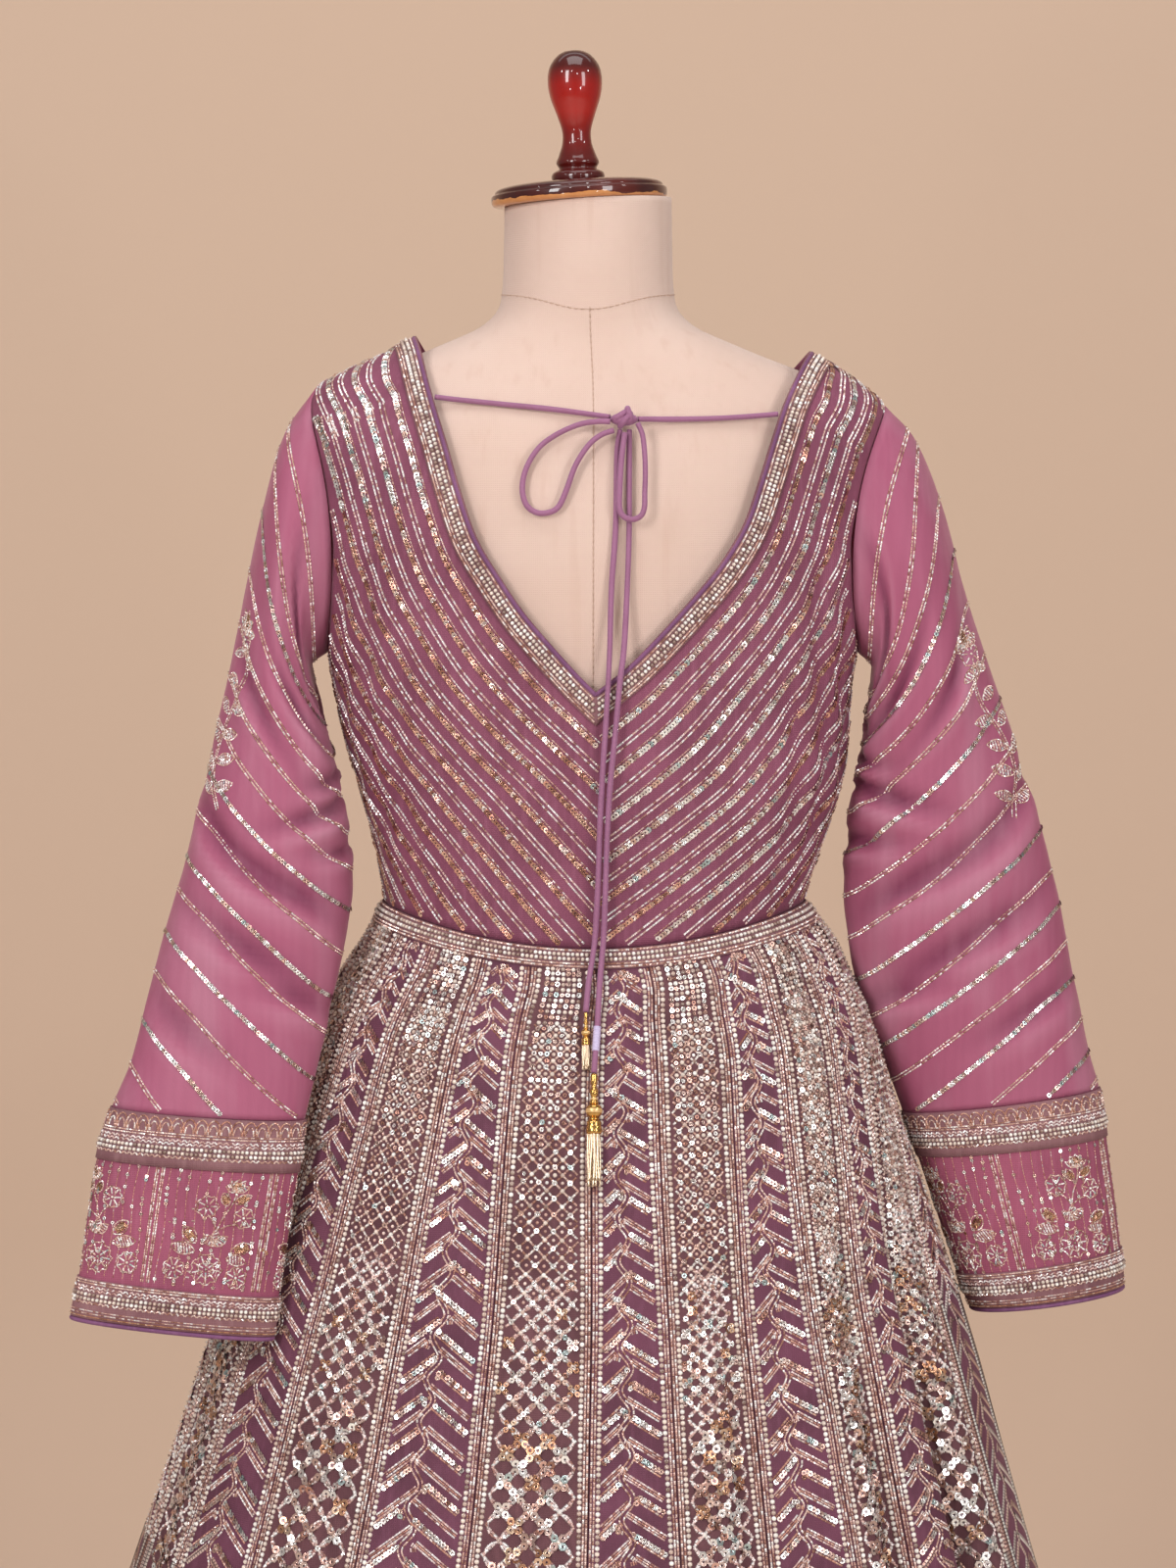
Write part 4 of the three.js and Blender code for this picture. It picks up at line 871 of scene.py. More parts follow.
def neckline(face, side, along):
    """The neckline's x and z; along is 0 at the V and 1 at the shoulder's neck point."""
    z = NECK_POINT_Z[side]
    shift, half = columns_at(GOWN_RINGS, "z", z, "shift halfWidth")
    xz = np.array(NECKLINE[face, side] + [(float(shift + side * half), z)], float)
    rows = {"i": np.arange(len(xz)), "x": xz[:, 0], "z": xz[:, 1]}
    at = along * (len(xz) - 1)
    return curve_value(rows, "i", "x", at), curve_value(rows, "i", "z", at)


def border_edge(face, side, along, distance):
    """The neckline moved into the cloth by a distance, mitred at the V."""
    near = 1e-3
    ax, az = neckline(face, side, np.maximum(along - near, 0))
    bx, bz = neckline(face, side, np.minimum(along + near, 1))
    length = np.hypot(bx - ax, bz - az)
    tx, tz = (bx - ax) / length, (bz - az) / length
    nx, nz = side * tz, -side * tx
    x, z = neckline(face, side, along)
    mitre = distance * nx / tx * np.maximum(1 - along * 9, 0) ** 2
    return x + nx * distance - tx * mitre, z + nz * distance - tz * mitre


PANEL_SIDE = np.pi / 2 - SEAM_GAP / 200


def half_panel(face, side, distances):
    """Half of a bodice panel as two grids of angle and height: below the border's tip from the centre
    line to the side seam, and beside the neckline from its edge to the armhole. distances are those
    of the border's own columns."""
    sign = 1 if face == "back" else -1
    border_tip = np.mean([border_edge(face, s, np.array(0.0), BORDER_WIDTH)[1] for s in (-1, 1)])
    seam = side * PANEL_SIDE
    s = np.linspace(0, 1, 30)[None, :]
    t = np.linspace(0, 1, 26)[:, None]
    centre_waist = WAIST_SEAM[face] + SEAM_GAP / 2
    centre = mix(centre_waist, border_tip, t)
    inner = angle_of(CENTRE_BACK_X + 0 * centre, centre)
    angle = mix(inner, seam, s)
    straight = mix(centre_waist - SEAM_GAP / 2, WAIST_SEAM["side"], s)
    dip = (1 - t) * (waist_seam(angle if face == "back" else np.pi - angle) - straight)
    z = mix(centre, mix(WAIST_SEAM["side"] + SEAM_GAP / 2, UNDERARM_Z, t), s) + dip
    lower = (angle, z)

    along = np.linspace(0, 1, 61)
    shoulder = SHOULDER_POINT_Z[side]
    columns = []
    for distance in distances:
        x, zz = border_edge(face, side, along, distance)
        tip = mix(np.mean([neckline(face, s_, np.array(0.0))[1] for s_ in (-1, 1)]), border_tip,
                  distance / BORDER_WIDTH)
        x[0], zz[0] = CENTRE_BACK_X, tip
        a = angle_of(x, zz)
        a[-1], zz[-1] = seam, mix(NECK_POINT_Z[side], shoulder, distance / 64)
        columns.append((side * np.minimum(side * a, side * seam), zz))
    alpha = np.pi * (1 - along)
    outer_z = mix(UNDERARM_Z, shoulder, (1 + np.cos(alpha)) / 2)
    reach = ARMHOLE_HALF_DEPTH * np.sin(alpha) / gown_depth(face, outer_z)
    outer = side * np.minimum(np.arccos(np.clip(reach, -1, 1)), PANEL_SIDE)
    edge_angle, edge_z = columns[-1]
    body = [(mix(edge_angle, outer, q), mix(edge_z, outer_z, q)) for q in np.linspace(0, 1, 30)[1:]]
    every = columns + body
    upper = (np.stack([c[0] for c in every], 1), np.stack([c[1] for c in every], 1))
    return sign, lower, upper


def bodice_patch(face, near, far, only_border=False):
    """Both halves of a panel welded on the centre line, or only the strip that the border covers."""
    distances = np.linspace(0, BORDER_WIDTH, 6)
    points, normals, quads, base = [], [], [], 0
    for side in (-1, 1):
        sign, lower, upper = half_panel(face, side, distances)
        if only_border:
            grids = [(upper[0][:, :len(distances)], upper[1][:, :len(distances)])]
        else:
            grids = [lower, upper]
        for angle, z in grids:
            around = angle if sign > 0 else np.pi - angle
            p = bodice_surface(around, z)
            n = grid_normals(bodice_surface, around, z)
            q = grid_quads(*angle.shape, out=side * sign)
            points.append(p.reshape(-1, 3))
            normals.append(n.reshape(-1, 3))
            quads.append(q + base)
            base += angle.size
    points, normals, quads = weld(np.concatenate(points), np.concatenate(normals), np.concatenate(quads))
    area = quad_area(points, quads)
    return closed_wall(points, normals, quads, near, far), area


def quad_area(points, quads):
    """Area of a skin of quads, in square metres."""
    a, b, c, d = (points[quads[:, i]] for i in range(4))
    return float(np.linalg.norm(np.cross(c - a, d - b), axis=1).sum() / 2 * MM * MM)


def sleeve_creases(alpha, down):
    """How far the sleeve is pressed in: each crease is a slanting trough with a low ridge below it."""
    total = 0.0 * alpha * down
    for at, where, slope, across, along, deep in zip(*(SLEEVE_CREASES[c] for c in (
            "alpha", "down", "slope", "across", "along", "depth"))):
        round_it = 50 * ((alpha - at + TURN / 2) % TURN - TURN / 2)
        away = (down - where - slope * round_it) / across
        total = total + deep * (np.exp(-away * away) - 0.4 * np.exp(-(away - 1.7) ** 2)) * np.exp(
            -(round_it / along) ** 2)
    return total


def sleeve_surface(name):
    side = -1 if name == "left" else 1
    rows = SLEEVE[name]

    def surface(alpha, down):
        """Ellipse between a sleeve's outer line (alpha 0) and its inner line (half a turn); near the
        armhole it bends to the bodice's edge, and soft folds run down from the sleeve's head."""
        ox, oy, oz, ix, iy, iz, half_depth = columns_at(
            rows, "down", down, "outerX outerY outerZ innerX innerY innerZ halfDepth")
        c, s = np.cos(alpha), np.sin(alpha)
        settle = np.maximum(1 - down / SLEEVE_SETTLE, 0) ** 2
        z_edge = mix(UNDERARM_Z, SHOULDER_POINT_Z[side], (1 + c) / 2)
        shift, half, back, front = columns_at(GOWN_RINGS, "z", z_edge, "shift halfWidth back front")
        y_edge = ARMHOLE_HALF_DEPTH * s
        depth = np.where(side * y_edge > 0, back, front)
        edge = shift + side * (half * np.sqrt(1 - np.minimum((y_edge / depth) ** 2, 1)) + ARMHOLE_GAP)
        plain = mix(rows["innerX"][0], rows["outerX"][0], (1 + c) / 2)
        free = smooth(down / 40) * smooth((CUFF_TOP - down) / 60)
        folds = 1.5 * np.sin(alpha * 5 + 2.2 * np.sin(down / 55)) * smooth((230 - down) / 160)
        folds = folds + 0.4 * np.sin(alpha * 9 + down / 37)
        folds = folds + 1.8 * np.exp(-((down - 150) / 60) ** 2) * np.sin(down / 8.5 + 2.0 * c) * smooth(-c * 1.6)
        grow = 1 + free * (folds - sleeve_creases(alpha, down)) / 62
        x = (ox + ix) / 2 + (ox - ix) / 2 * c * grow + settle * (edge - plain)
        y = (oy + iy) / 2 + (oy - iy) / 2 * c * grow - side * half_depth * s * grow
        z = (oz + iz) / 2 + (oz - iz) / 2 * c
        return np.stack([x, y, z], -1)

    return surface


def fold_depth(turn, drop):
    """How far the cloth is folded in (negative is inward) at a turn in degrees and a drop."""
    total = 9.0 * 0 * turn
    for angle, spread, depth, start in zip(*(FOLDS[c] for c in ("angle", "spread", "depth", "start"))):
        away = turn - angle
        away = (away - 360 * np.round(away / 360)) / spread
        total = total - depth * smooth((drop - start) / (1000 - start)) ** 0.8 * np.exp(-away * away)
    lattice_turn = 360 / GORE_PAIRS * (1 - VINE_SHARE)
    wave = np.cos((turn * GORE_PAIRS + lattice_turn * GORE_PAIRS / 2) * DEG)
    return total + HEM_WAVE * wave * smooth((drop - 300) / 700)


def skirt_surface(turn, fall):
    """The skirt: turn is the cloth's own, in degrees from the centre back; fall is 0 at the waist seam
    and 1 at the hem. The gown's ring at the waist seam grows by the flare, less the folds."""
    wrapped = turn - 360 * np.round(turn / 360)
    seam = waist_seam(turn * DEG) - SEAM_GAP / 2
    drop = fall * (seam - HEM_HEIGHT)
    shift, half, back, front = columns_at(GOWN_RINGS, "z", seam, "shift halfWidth back front")
    f_shift, f_side, f_back, f_front = columns_at(SKIRT_FLARE, "drop", drop, "shift side back front")
    turned = curve_value(CLOTH_TURN, "cloth", "seen", wrapped)
    seen = mix(wrapped, turned, smooth(drop / TURN_FULL_DROP)) * DEG
    folded = fold_depth(turn, drop)
    depth = np.where(np.cos(seen) >= 0, back + f_back, front + f_front)
    return np.stack([shift + f_shift + (half + f_side + folded) * np.sin(seen),
                     -(depth + folded) * np.cos(seen), seam - drop], -1)


# ---------------------------------------------------------------- the gown's cloth


def cloth(name, made_of, area, flat, slot, node, finish, held="hung", tone=None):
    """One cut piece of cloth: its closed wall, what it replaces and the size it was cut to."""
    made = piece(name, *made_of, [finish], tone=tone)
    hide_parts(node)
    min(area, flat[0] * flat[1] * 1e-6)
    return made


for face in ("back", "front"):
    wall, area = bodice_patch(face, 0, -LINED_CLOTH)
    cloth(f"bodice_{face}_cloth", wall, area, (460, 430), "plum_cloth", f"bodice_{face}", plum_silk, "stretched")
    wall, area = bodice_patch(face, SEAM_GAP + 0.9, SEAM_GAP, True)
    cloth(f"neck_border_{face}_tape", wall, area, (17.5, area / 17.5e-6 * 1.02), "beadwork",
          f"neck_border_{face}", band_silk, "stretched")


def open_surface(surface, us, vs, near, far, out=1, closed=False):
    u, v = np.meshgrid(us, vs)
    points = surface(u, v)
    normals = grid_normals(surface, u, v, out)
    quads = grid_quads(len(vs), len(us), closed, out)
    flat_points = points.reshape(-1, 3)
    return (closed_wall(flat_points, normals.reshape(-1, 3), quads, near, far),
            quad_area(flat_points, quads))


AROUND = np.arange(72) * TURN / 72
for name in ("left", "right"):
    surface = sleeve_surface(name)
    downs = np.linspace(0, CUFF_TOP - SEAM_GAP / 2, 90)
    wall, area = open_surface(surface, AROUND, downs, 0, -ORGANZA, closed=True)
    # Painted shade and highlight: each point's tone holds how deep it lies in a crease, and the cloth is painted darker
    # in the troughs and paler on the ridges.
    shade = np.clip(0.35 + sleeve_creases(*np.meshgrid(AROUND, downs)).ravel() / 11, 0, 1)
    cloth(f"sleeve_{name}_cloth", wall, area, (420, 400), "organza", f"sleeve_{name}", organza,
          tone=np.tile(shade[:, None], (2, 3)))
    start = CUFF_TOP + SEAM_GAP / 2
    wall, area = open_surface(surface, AROUND, np.linspace(start, CUFF_END, 26), 0, -LINED_CLOTH, closed=True)
    cloth(f"cuff_{name}_cloth", wall, area, (330, 140), "cuff_cloth", f"cuff_{name}", cuff_silk)
    for part, top, end in (("top", start, CUFF_BAND_END), ("hem", CUFF_HEM_BAND, CUFF_PIPING)):
        wall, area = open_surface(surface, AROUND, np.linspace(top, end, 8), SEAM_GAP + 0.9, SEAM_GAP,
                                  closed=True)
        cloth(f"cuff_{part}_band_{name}_tape", wall, area, (330, end - top + 1), "beadwork",
              f"cuff_{part}_band_{name}", band_silk)

VINE_TURN = 360 / GORE_PAIRS * VINE_SHARE
LATTICE_TURN = 360 / GORE_PAIRS - VINE_TURN
BAND_FALL = WAIST_BAND / (WAIST_SEAM["back"] - HEM_HEIGHT)


def seam_turn(fall):
    return SEAM_GAP / mix(2, 4.2, fall)


def gore_surface(start, width):
    def surface(across, fall):
        """The skirt between two seams; across is 0 and 1 at the gore's edges, half a gap inside them."""
        room = seam_turn(fall)
        return skirt_surface(start + room / 2 + (width - room) * across, fall)

    return surface


GORES = [(kind, i + 1, i * 360 / GORE_PAIRS + start, width)
         for i in range(GORE_PAIRS)
         for kind, start, width in (("vine", 0, VINE_TURN), ("lattice", VINE_TURN, LATTICE_TURN))]
for kind, number, start, width in GORES:
    label = f"gore_{kind}_{number:02d}"
    surface = gore_surface(start, width)
    columns = 11 if kind == "vine" else 14
    falls = np.concatenate([np.linspace(0, 0.1, 8)[:-1], np.linspace(0.1, 1, 44)])
    wall, area = open_surface(surface, np.linspace(0, 1, columns), falls, 0, -LINED_CLOTH, out=-1)
    hem = np.linalg.norm(np.diff(surface(np.linspace(0, 1, 60), np.ones(60)), axis=0), axis=1).sum()
    cloth(label + "_cloth", wall, area, (hem * 1.02, 1085), kind + "_cloth", label,
          vine_silk if kind == "vine" else lattice_silk)

wall, area = open_surface(skirt_surface, np.linspace(0, 360, 181)[:-1], np.linspace(0, BAND_FALL, 4),
                          SEAM_GAP + 0.9, SEAM_GAP, out=-1, closed=True)
cloth("waist_band_tape", wall, area, (area / 13.2e-6, 13.5), "beadwork", "waist_band", band_silk)

# ---------------------------------------------------------------- beadwork: tools

SILVER = ((5, "e4d6d0"), (4, "faf4f0"), (3, "c2a298"), (1, "b4c2c0"), (3, "d8b0a0"))
BLUSH = ((5, "f2dcd8"), (4, "dcb4ac"), (2, "ac7c74"), (4, "fffaf8"))
COPPER = ((4, "cc9480"), (3, "dcae98"), (2, "a06c5a"), (2, "e8d0c6"))
# In ROSE, the near-white fff6f0 share is painted highlight: beads picked at random shine as if they caught a lamp.
ROSE = ((5, "e8c8bc"), (5, "d2a698"), (3, "a87868"), (3, "fff6f0"))
GILT = ((4, "c89474"), (3, "ac7a5c"), (2, "e0bca0"))
PEARL = ((5, "e6d2c4"), (4, "fbf2ea"), (3, "c0a496"), (1, "8e7064"))

# Each bead: points in millimetres (along its row, across it, out of the cloth), faces, finish number
# and whether it's smooth.
BEAD_SHAPES = {
    "cut": ([(-1.0, -0.62, 0), (1.0, -0.62, 0), (1.0, 0.62, 0), (-1.0, 0.62, 0), (-0.6, 0, 1), (0.6, 0, 1)],
            [[(0, 1, 5, 4), (2, 3, 4, 5)], [(1, 2, 5), (3, 0, 4)]], 0, False),
    "chip": ([(-1.0, -0.62, 0), (1.0, -0.62, 0), (1.0, 0.62, 0), (-1.0, 0.62, 0), (0.1, 0, 0.95)],
             [[(0, 1, 4), (1, 2, 4), (2, 3, 4), (3, 0, 4)]], 0, False),
    "sequin": ([(np.cos(a), np.sin(a), 0.45) for a in np.arange(6) * TURN / 6], [[(0, 1, 2, 3, 4, 5)]], 1, False),
    "pearl": ([(np.cos(a), np.sin(a), 0.1) for a in np.arange(6) * TURN / 6]
              + [(0.74 * np.cos(a), 0.74 * np.sin(a), 0.85) for a in np.arange(6) * TURN / 6] + [(0, 0, 1.25)],
              [[(i, (i + 1) % 6, 6 + (i + 1) % 6, 6 + i) for i in range(6)],
               [(6 + i, 6 + (i + 1) % 6, 12) for i in range(6)]], 2, True),
    "seed": ([(np.cos(a), np.sin(a), 0) for a in np.arange(6) * TURN / 6] + [(0, 0, 1.2)],
             [[(i, (i + 1) % 6, 6) for i in range(6)]], 2, True),
}


def random_tones(count, mixture):
    """Tones picked from shares of hex colours, each a little lighter or darker."""
    shares = np.array([share for share, _ in mixture], float)
    base = np.array([colour(shade)[:3] for _, shade in mixture])
    return base[dice.choice(len(mixture), count, p=shares / shares.sum())] * dice.uniform(0.78, 1.12, (count, 1))


class Places:
    """Points on cloth with the outward normal, the row's direction and its sideways direction."""

    def __init__(self, points, normals, along, row, step):
        self.points, self.normals, self.along, self.row, self.step = points, normals, along, row, step
        self.side = np.cross(normals, along)

    def __len__(self):
        return len(self.points)

    def where(self, keep):
        return Places(self.points[keep], self.normals[keep], self.along[keep], self.row[keep], self.step[keep])

    def beside(self, distance):
        """The same places moved sideways in the cloth."""
        return Places(self.points + self.side * distance, self.normals, self.along, self.row, self.step)


def places_at(surface, u, v, ahead_u, ahead_v, out, row, step):
    points = surface(u, v)
    normals = grid_normals(surface, u, v, out)
    along = surface(ahead_u, ahead_v) - points
    along = unit(along - normals * (along * normals).sum(1, keepdims=True))
    return Places(points, normals, along, row, step)


def lay_along(surface, lines, pitch, out=1):
    """Places at an even pitch along lines that are drawn in a surface's own two parameters."""
    lines = [line for line in lines if len(line) > 1]
    drawn = np.concatenate(lines)
    sizes = np.array([len(line) for line in lines])
    first = np.cumsum(sizes) - sizes
    steps = np.linalg.norm(np.diff(surface(*drawn.T), axis=0), axis=1)
    steps[first[1:] - 1] = 9.0
    at = np.concatenate([[0], np.cumsum(steps + 1e-7)])
    start, end = at[first], at[first + sizes - 1]
    count = np.round((end - start) / pitch).astype(int)
    row = np.repeat(np.arange(len(lines)), count)
    step = np.arange(len(row)) - np.repeat(np.cumsum(count) - count, count)
    here = start[row] + (step + 0.5) * ((end - start) / np.maximum(count, 1))[row]
    ahead = np.minimum(here + 0.5, end[row] + 0.5)
    u, v, ahead_u, ahead_v = (np.interp(where, at, drawn[:, k]) for where in (here, ahead) for k in (0, 1))
    return places_at(surface, u, v, ahead_u, ahead_v, out, row, step)


def lay_spots(surface, spots, out=1):
    """Single places on a surface, at rows of its own two parameters."""
    spots = np.asarray(spots, float).reshape(-1, 2)
    number = np.arange(len(spots))
    return places_at(surface, spots[:, 0], spots[:, 1], spots[:, 0] + 1e-3, spots[:, 1], out, number, 0 * number)


class Tray:
    """Beads and bead ribbons waiting to be joined into one piece."""

    def __init__(self):
        self.points, self.tones, self.marks, self.count = [], [], [], 0
        self.faces = {3: [], 4: [], 6: []}
        self.finish = {3: [], 4: [], 6: []}
        self.soft = {3: [], 4: [], 6: []}

    def add(self, shape, places, mixture, size=1.0, spin=0.0, tip=0.0, wobble=0.0, lift=0.0):
        """One bead at each place. size scales it (length, width, height), spin turns it in the cloth,
        tip raises its leading end, and wobble leans each bead at random; angles in radians."""
        count = len(places)
        if not count:
            return
        local, face_groups, finish, soft = BEAD_SHAPES[shape]
        local = np.array(local, float) * size
        spin = np.broadcast_to(spin, count)[:, None]
        along = places.along * np.cos(spin) + places.side * np.sin(spin)
        lean = dice.normal(0, 1, (count, 2)) * wobble
        up = unit(places.normals + along * (lean[:, :1] - tip) + places.side * lean[:, 1:])
        along = unit(along - up * (along * up).sum(1, keepdims=True))
        side = np.cross(up, along)
        body = (places.points + places.normals * lift)[:, None] + (
            local[None, :, :1] * along[:, None] + local[None, :, 1:2] * side[:, None]
            + local[None, :, 2:] * up[:, None])
        each = len(local)
        for group in face_groups:
            corners = np.array(group)
            shifted = (np.arange(count)[:, None, None] * each + corners[None]).reshape(-1, corners.shape[1])
            self.keep(corners.shape[1], shifted + self.count, finish, soft)
        self.points.append(body.reshape(-1, 3))
        self.tones.append(np.repeat(random_tones(count, mixture), each, axis=0))
        self.marks.append(np.tile(local[:, :2] / np.abs(local[:, 0]).max(), (count, 1)))
        self.count += count * each

    def keep(self, corners, faces, finish, soft):
        self.faces[corners].append(faces)
        self.finish[corners].append(np.full(len(faces), finish))
        self.soft[corners].append(np.full(len(faces), soft))

    def ribbon(self, surface, lines, width, mixture, out=1, step=9.0, height=0.9):
        """Rows of beads sewn as one raised strip; its mark counts millimetres along and -1..1 across."""
        lines = [line for line in lines if len(line) > 1]
        if not lines:
            return
        drawn = np.concatenate(lines)
        sizes = np.array([len(line) for line in lines])
        first = np.cumsum(sizes) - sizes
        steps = np.linalg.norm(np.diff(surface(*drawn.T), axis=0), axis=1)
        steps[first[1:] - 1] = 9.0
        at = np.concatenate([[0], np.cumsum(steps + 1e-7)])
        start, end = at[first], at[first + sizes - 1]
        count = np.maximum(np.round((end - start) / step).astype(int), 1) + 1
        row = np.repeat(np.arange(len(lines)), count)
        k = np.arange(len(row)) - np.repeat(np.cumsum(count) - count, count)
        here = start[row] + k * ((end - start) / (count - 1))[row]
        reach = 0.5
        u, v = (np.interp(here, at, drawn[:, i]) for i in (0, 1))
        after = surface(*(np.interp(np.minimum(here + reach, end[row]), at, drawn[:, i]) for i in (0, 1)))
        before = surface(*(np.interp(np.maximum(here - reach, start[row]), at, drawn[:, i]) for i in (0, 1)))
        points, normals = surface(u, v), grid_normals(surface, u, v, out)
        side = np.cross(normals, unit(after - before))
        body = np.stack([points - side * width / 2, points + normals * height, points + side * width / 2], 1)
        base = np.flatnonzero(k < (count - 1)[row]) * 3
        quads = np.concatenate([np.stack([base + j, base + 3 + j, base + 4 + j, base + 1 + j], -1) for j in (0, 1)])
        self.keep(4, quads + self.count, 3, True)
        tones = random_tones(len(lines), mixture)[row]
        self.points.append(body.reshape(-1, 3))
        self.tones.append(np.repeat(tones, 3, axis=0))
        self.marks.append(np.stack([np.repeat(here - start[row], 3), np.tile([-1, 0, 1], len(row))], -1))
        self.count += len(row) * 3

    def made(self, name):
        """The tray's beads as one object."""
        used = [n for n in (3, 4, 6) if self.faces[n]]
        gather = lambda kept: np.concatenate([part for n in used for part in kept[n]])
        finished = piece(name, np.concatenate(self.points), [np.concatenate(self.faces[n]) for n in used],
                         [cut_glass, sequin_foil, pearl_glaze, bead_ribbon], gather(self.finish),
                         tone=np.concatenate(self.tones), mark=np.concatenate(self.marks))
        finished.data.polygons.foreach_set("use_smooth", gather(self.soft))
        return finished


class Chart:
    """Turns millimetres across and down a piece of cloth into its surface's own two parameters."""

    def __init__(self, surface, us, vs, middle=0.5):
        points = surface(*np.meshgrid(us, vs))
        self.surface, self.us, self.vs = surface, us, vs
        self.down = np.concatenate([[0], np.cumsum(np.linalg.norm(
            np.diff(points[:, int(len(us) * middle)], axis=0), axis=1))])
        self.across = np.pad(np.cumsum(np.linalg.norm(np.diff(points, axis=1), axis=2), axis=1), ((0, 0), (1, 0)))

    def width(self, down):
        return np.interp(down, self.down, self.across[:, -1])

    def find(self, across, down):
        across, down = np.broadcast_arrays(np.asarray(across, float), np.asarray(down, float))
        row = np.interp(down, self.down, np.arange(len(self.down)))
        low = np.minimum(row.astype(int), len(self.down) - 2)
        table = mix(self.across[low], self.across[low + 1], (row - low)[:, None])
        k = np.clip((table <= across[:, None]).sum(1) - 1, 0, len(self.us) - 2)
        i = np.arange(len(across))
        share = np.clip((across - table[i, k]) / (table[i, k + 1] - table[i, k]), -1, 2)
        return np.stack([mix(self.us[k], self.us[k + 1], share), np.interp(down, self.down, self.vs)], -1)


def runs(line, keep):
    """The unbroken stretches of a line for which keep holds."""
    edges = np.flatnonzero(np.diff(np.concatenate([[0], keep.astype(int), [0]])))
    return [line[a:b] for a, b in zip(edges[::2], edges[1::2]) if b - a > 1]


def double_cut(tray, places, mixture, gap=1.8, size=(1.05, 1.0, 1.0), shape="cut"):
    """Two close rows of cut beads, half a bead out of step."""
    tray.add(shape, places.beside(gap / 2), mixture, size, wobble=0.1)
    tray.add(shape, places.beside(-gap / 2), mixture, size, wobble=0.1)


def sequin_row(tray, places, mixture, size=1.55):
    """Overlapping sequins, each raised on the one before."""
    tray.add("sequin", places, mixture, size=(size, size, 1), tip=0.2, wobble=0.13,
             spin=dice.uniform(0, 1, len(places)))


# ---------------------------------------------------------------- beadwork: bodice


def neckline_chart(face, side):
    """The neckline as distance from the centre line along the cloth, and height; also the tables that
    turn such a place back into the bodice's angle."""
    heights = np.arange(1000, 1413, 2.0)
    angles = np.linspace(0, np.pi / 2, 160)
    around = angles * side if face == "back" else np.pi - angles * side
    points = gown_at(*np.meshgrid(around, heights))
    lengths = np.pad(np.cumsum(np.linalg.norm(np.diff(points, axis=1), axis=2), axis=1), ((0, 0), (1, 0)))

    def to_angle(s, z):
        row = np.clip((z - heights[0]) / 2, 0, len(heights) - 1.001)
        low = row.astype(int)
        table = mix(lengths[low], lengths[low + 1], (row - low)[:, None])
        k = np.clip((table <= s[:, None]).sum(1) - 1, 0, len(angles) - 2)
        i = np.arange(len(s))
        return mix(angles[k], angles[k + 1], (s - table[i, k]) / (table[i, k + 1] - table[i, k]))

    def to_length(angle, z):
        row = np.clip((z - heights[0]) / 2, 0, len(heights) - 1.001)
        low = row.astype(int)
        table = mix(lengths[low], lengths[low + 1], (row - low)[:, None])
        at = np.clip(angle / angles[1], 0, len(angles) - 1.001)
        k = at.astype(int)
        i = np.arange(len(z))
        return mix(table[i, k], table[i, k + 1], at - k)

    return to_angle, to_length


CHEVRON_PITCH = 10.4


def chevrons(face, side):
    """Rows that follow the neckline, one pitch apart, and run straight on past both its ends until the
    panel ends. Each is its number and a run of the bodice's angle and height; even ones are sequins."""
    to_angle, to_length = neckline_chart(face, side)
    x, z = neckline(face, side, np.linspace(0, 0.86, 150))
    signed = side * angle_of(x, z)
    s = np.sign(signed) * to_length(np.abs(signed), z)
    ds, dz = np.gradient(s), np.gradient(z)
    length = np.hypot(ds, dz)
    ds, dz = ds / length, dz / length
    rows = []
    for number in range(36):
        away = BORDER_WIDTH + 9.5 + number * CHEVRON_PITCH
        line_s, line_z = s + dz * away, z - ds * away
        past = np.linspace(0, 1, 90)[1:]
        low, high = past[::-1] * (away * 1.6 + 40), past * 160
        line_s = np.concatenate([line_s[0] - ds[0] * low, line_s, line_s[-1] + ds[-1] * high])
        line_z = np.concatenate([line_z[0] - dz[0] * low, line_z, line_z[-1] + dz[-1] * high])
        angle = np.sign(line_s) * to_angle(np.abs(line_s), np.clip(line_z, 1001, 1411))
        edge = np.where((line_z > UNDERARM_Z) & (line_z < SHOULDER_POINT_Z[side]),
                        armhole_angle(line_z, side, face), PANEL_SIDE)
        floor_z = waist_seam(angle if face == "back" else np.pi - angle) + 2
        keep = ((line_s > CENTRE_BACK_X * side + 1.4) & (line_z > floor_z)
                & (angle < edge - 0.024) & (line_z < 1409))
        around = side * angle if face == "back" else np.pi - side * angle
        rows += [(number, line) for line in runs(np.stack([around, line_z], -1), keep)]
    return rows


def bodice_beads(face):
    tray = Tray()
    for side in (-1, 1):
        rows = chevrons(face, side)
        cut = lay_along(bodice_surface, [line for number, line in rows if number % 2], 2.45)
        double_cut(tray, cut, BLUSH, 2.8, (1.15, 1.2, 1.1), "chip")
        bright = lay_along(bodice_surface, [line for number, line in rows if number % 2 == 0], 2.4)
        x, z = bright.points[:, 0], bright.points[:, 2]
        # Painted glints: sequins in these patches and in some rows on the right take the near-white SILVER mix, the
        # rest COPPER, as if they caught the lamps.
        painted_glint_patches = ((x > 8) & (x < 125) & (z > 1050) & (z < 1262)) | ((x < -85) & (z > 1290)) | (
            (np.sin(bright.row * 2.4) > 0.55) & (x > 0))
        sequin_row(tray, bright.where(painted_glint_patches), SILVER, 2.2)
        sequin_row(tray, bright.where(~painted_glint_patches), COPPER, 2.05)
        chain = bright.beside(3.0 * side * (1 if face == "back" else -1))
        tray.add("chip", chain, ROSE, (1.0, 0.8, 0.8), wobble=0.1)
    return tray.made(f"bodice_{face}_rows")


bodice_rows = [bodice_beads(face) for face in ("back", "front")]


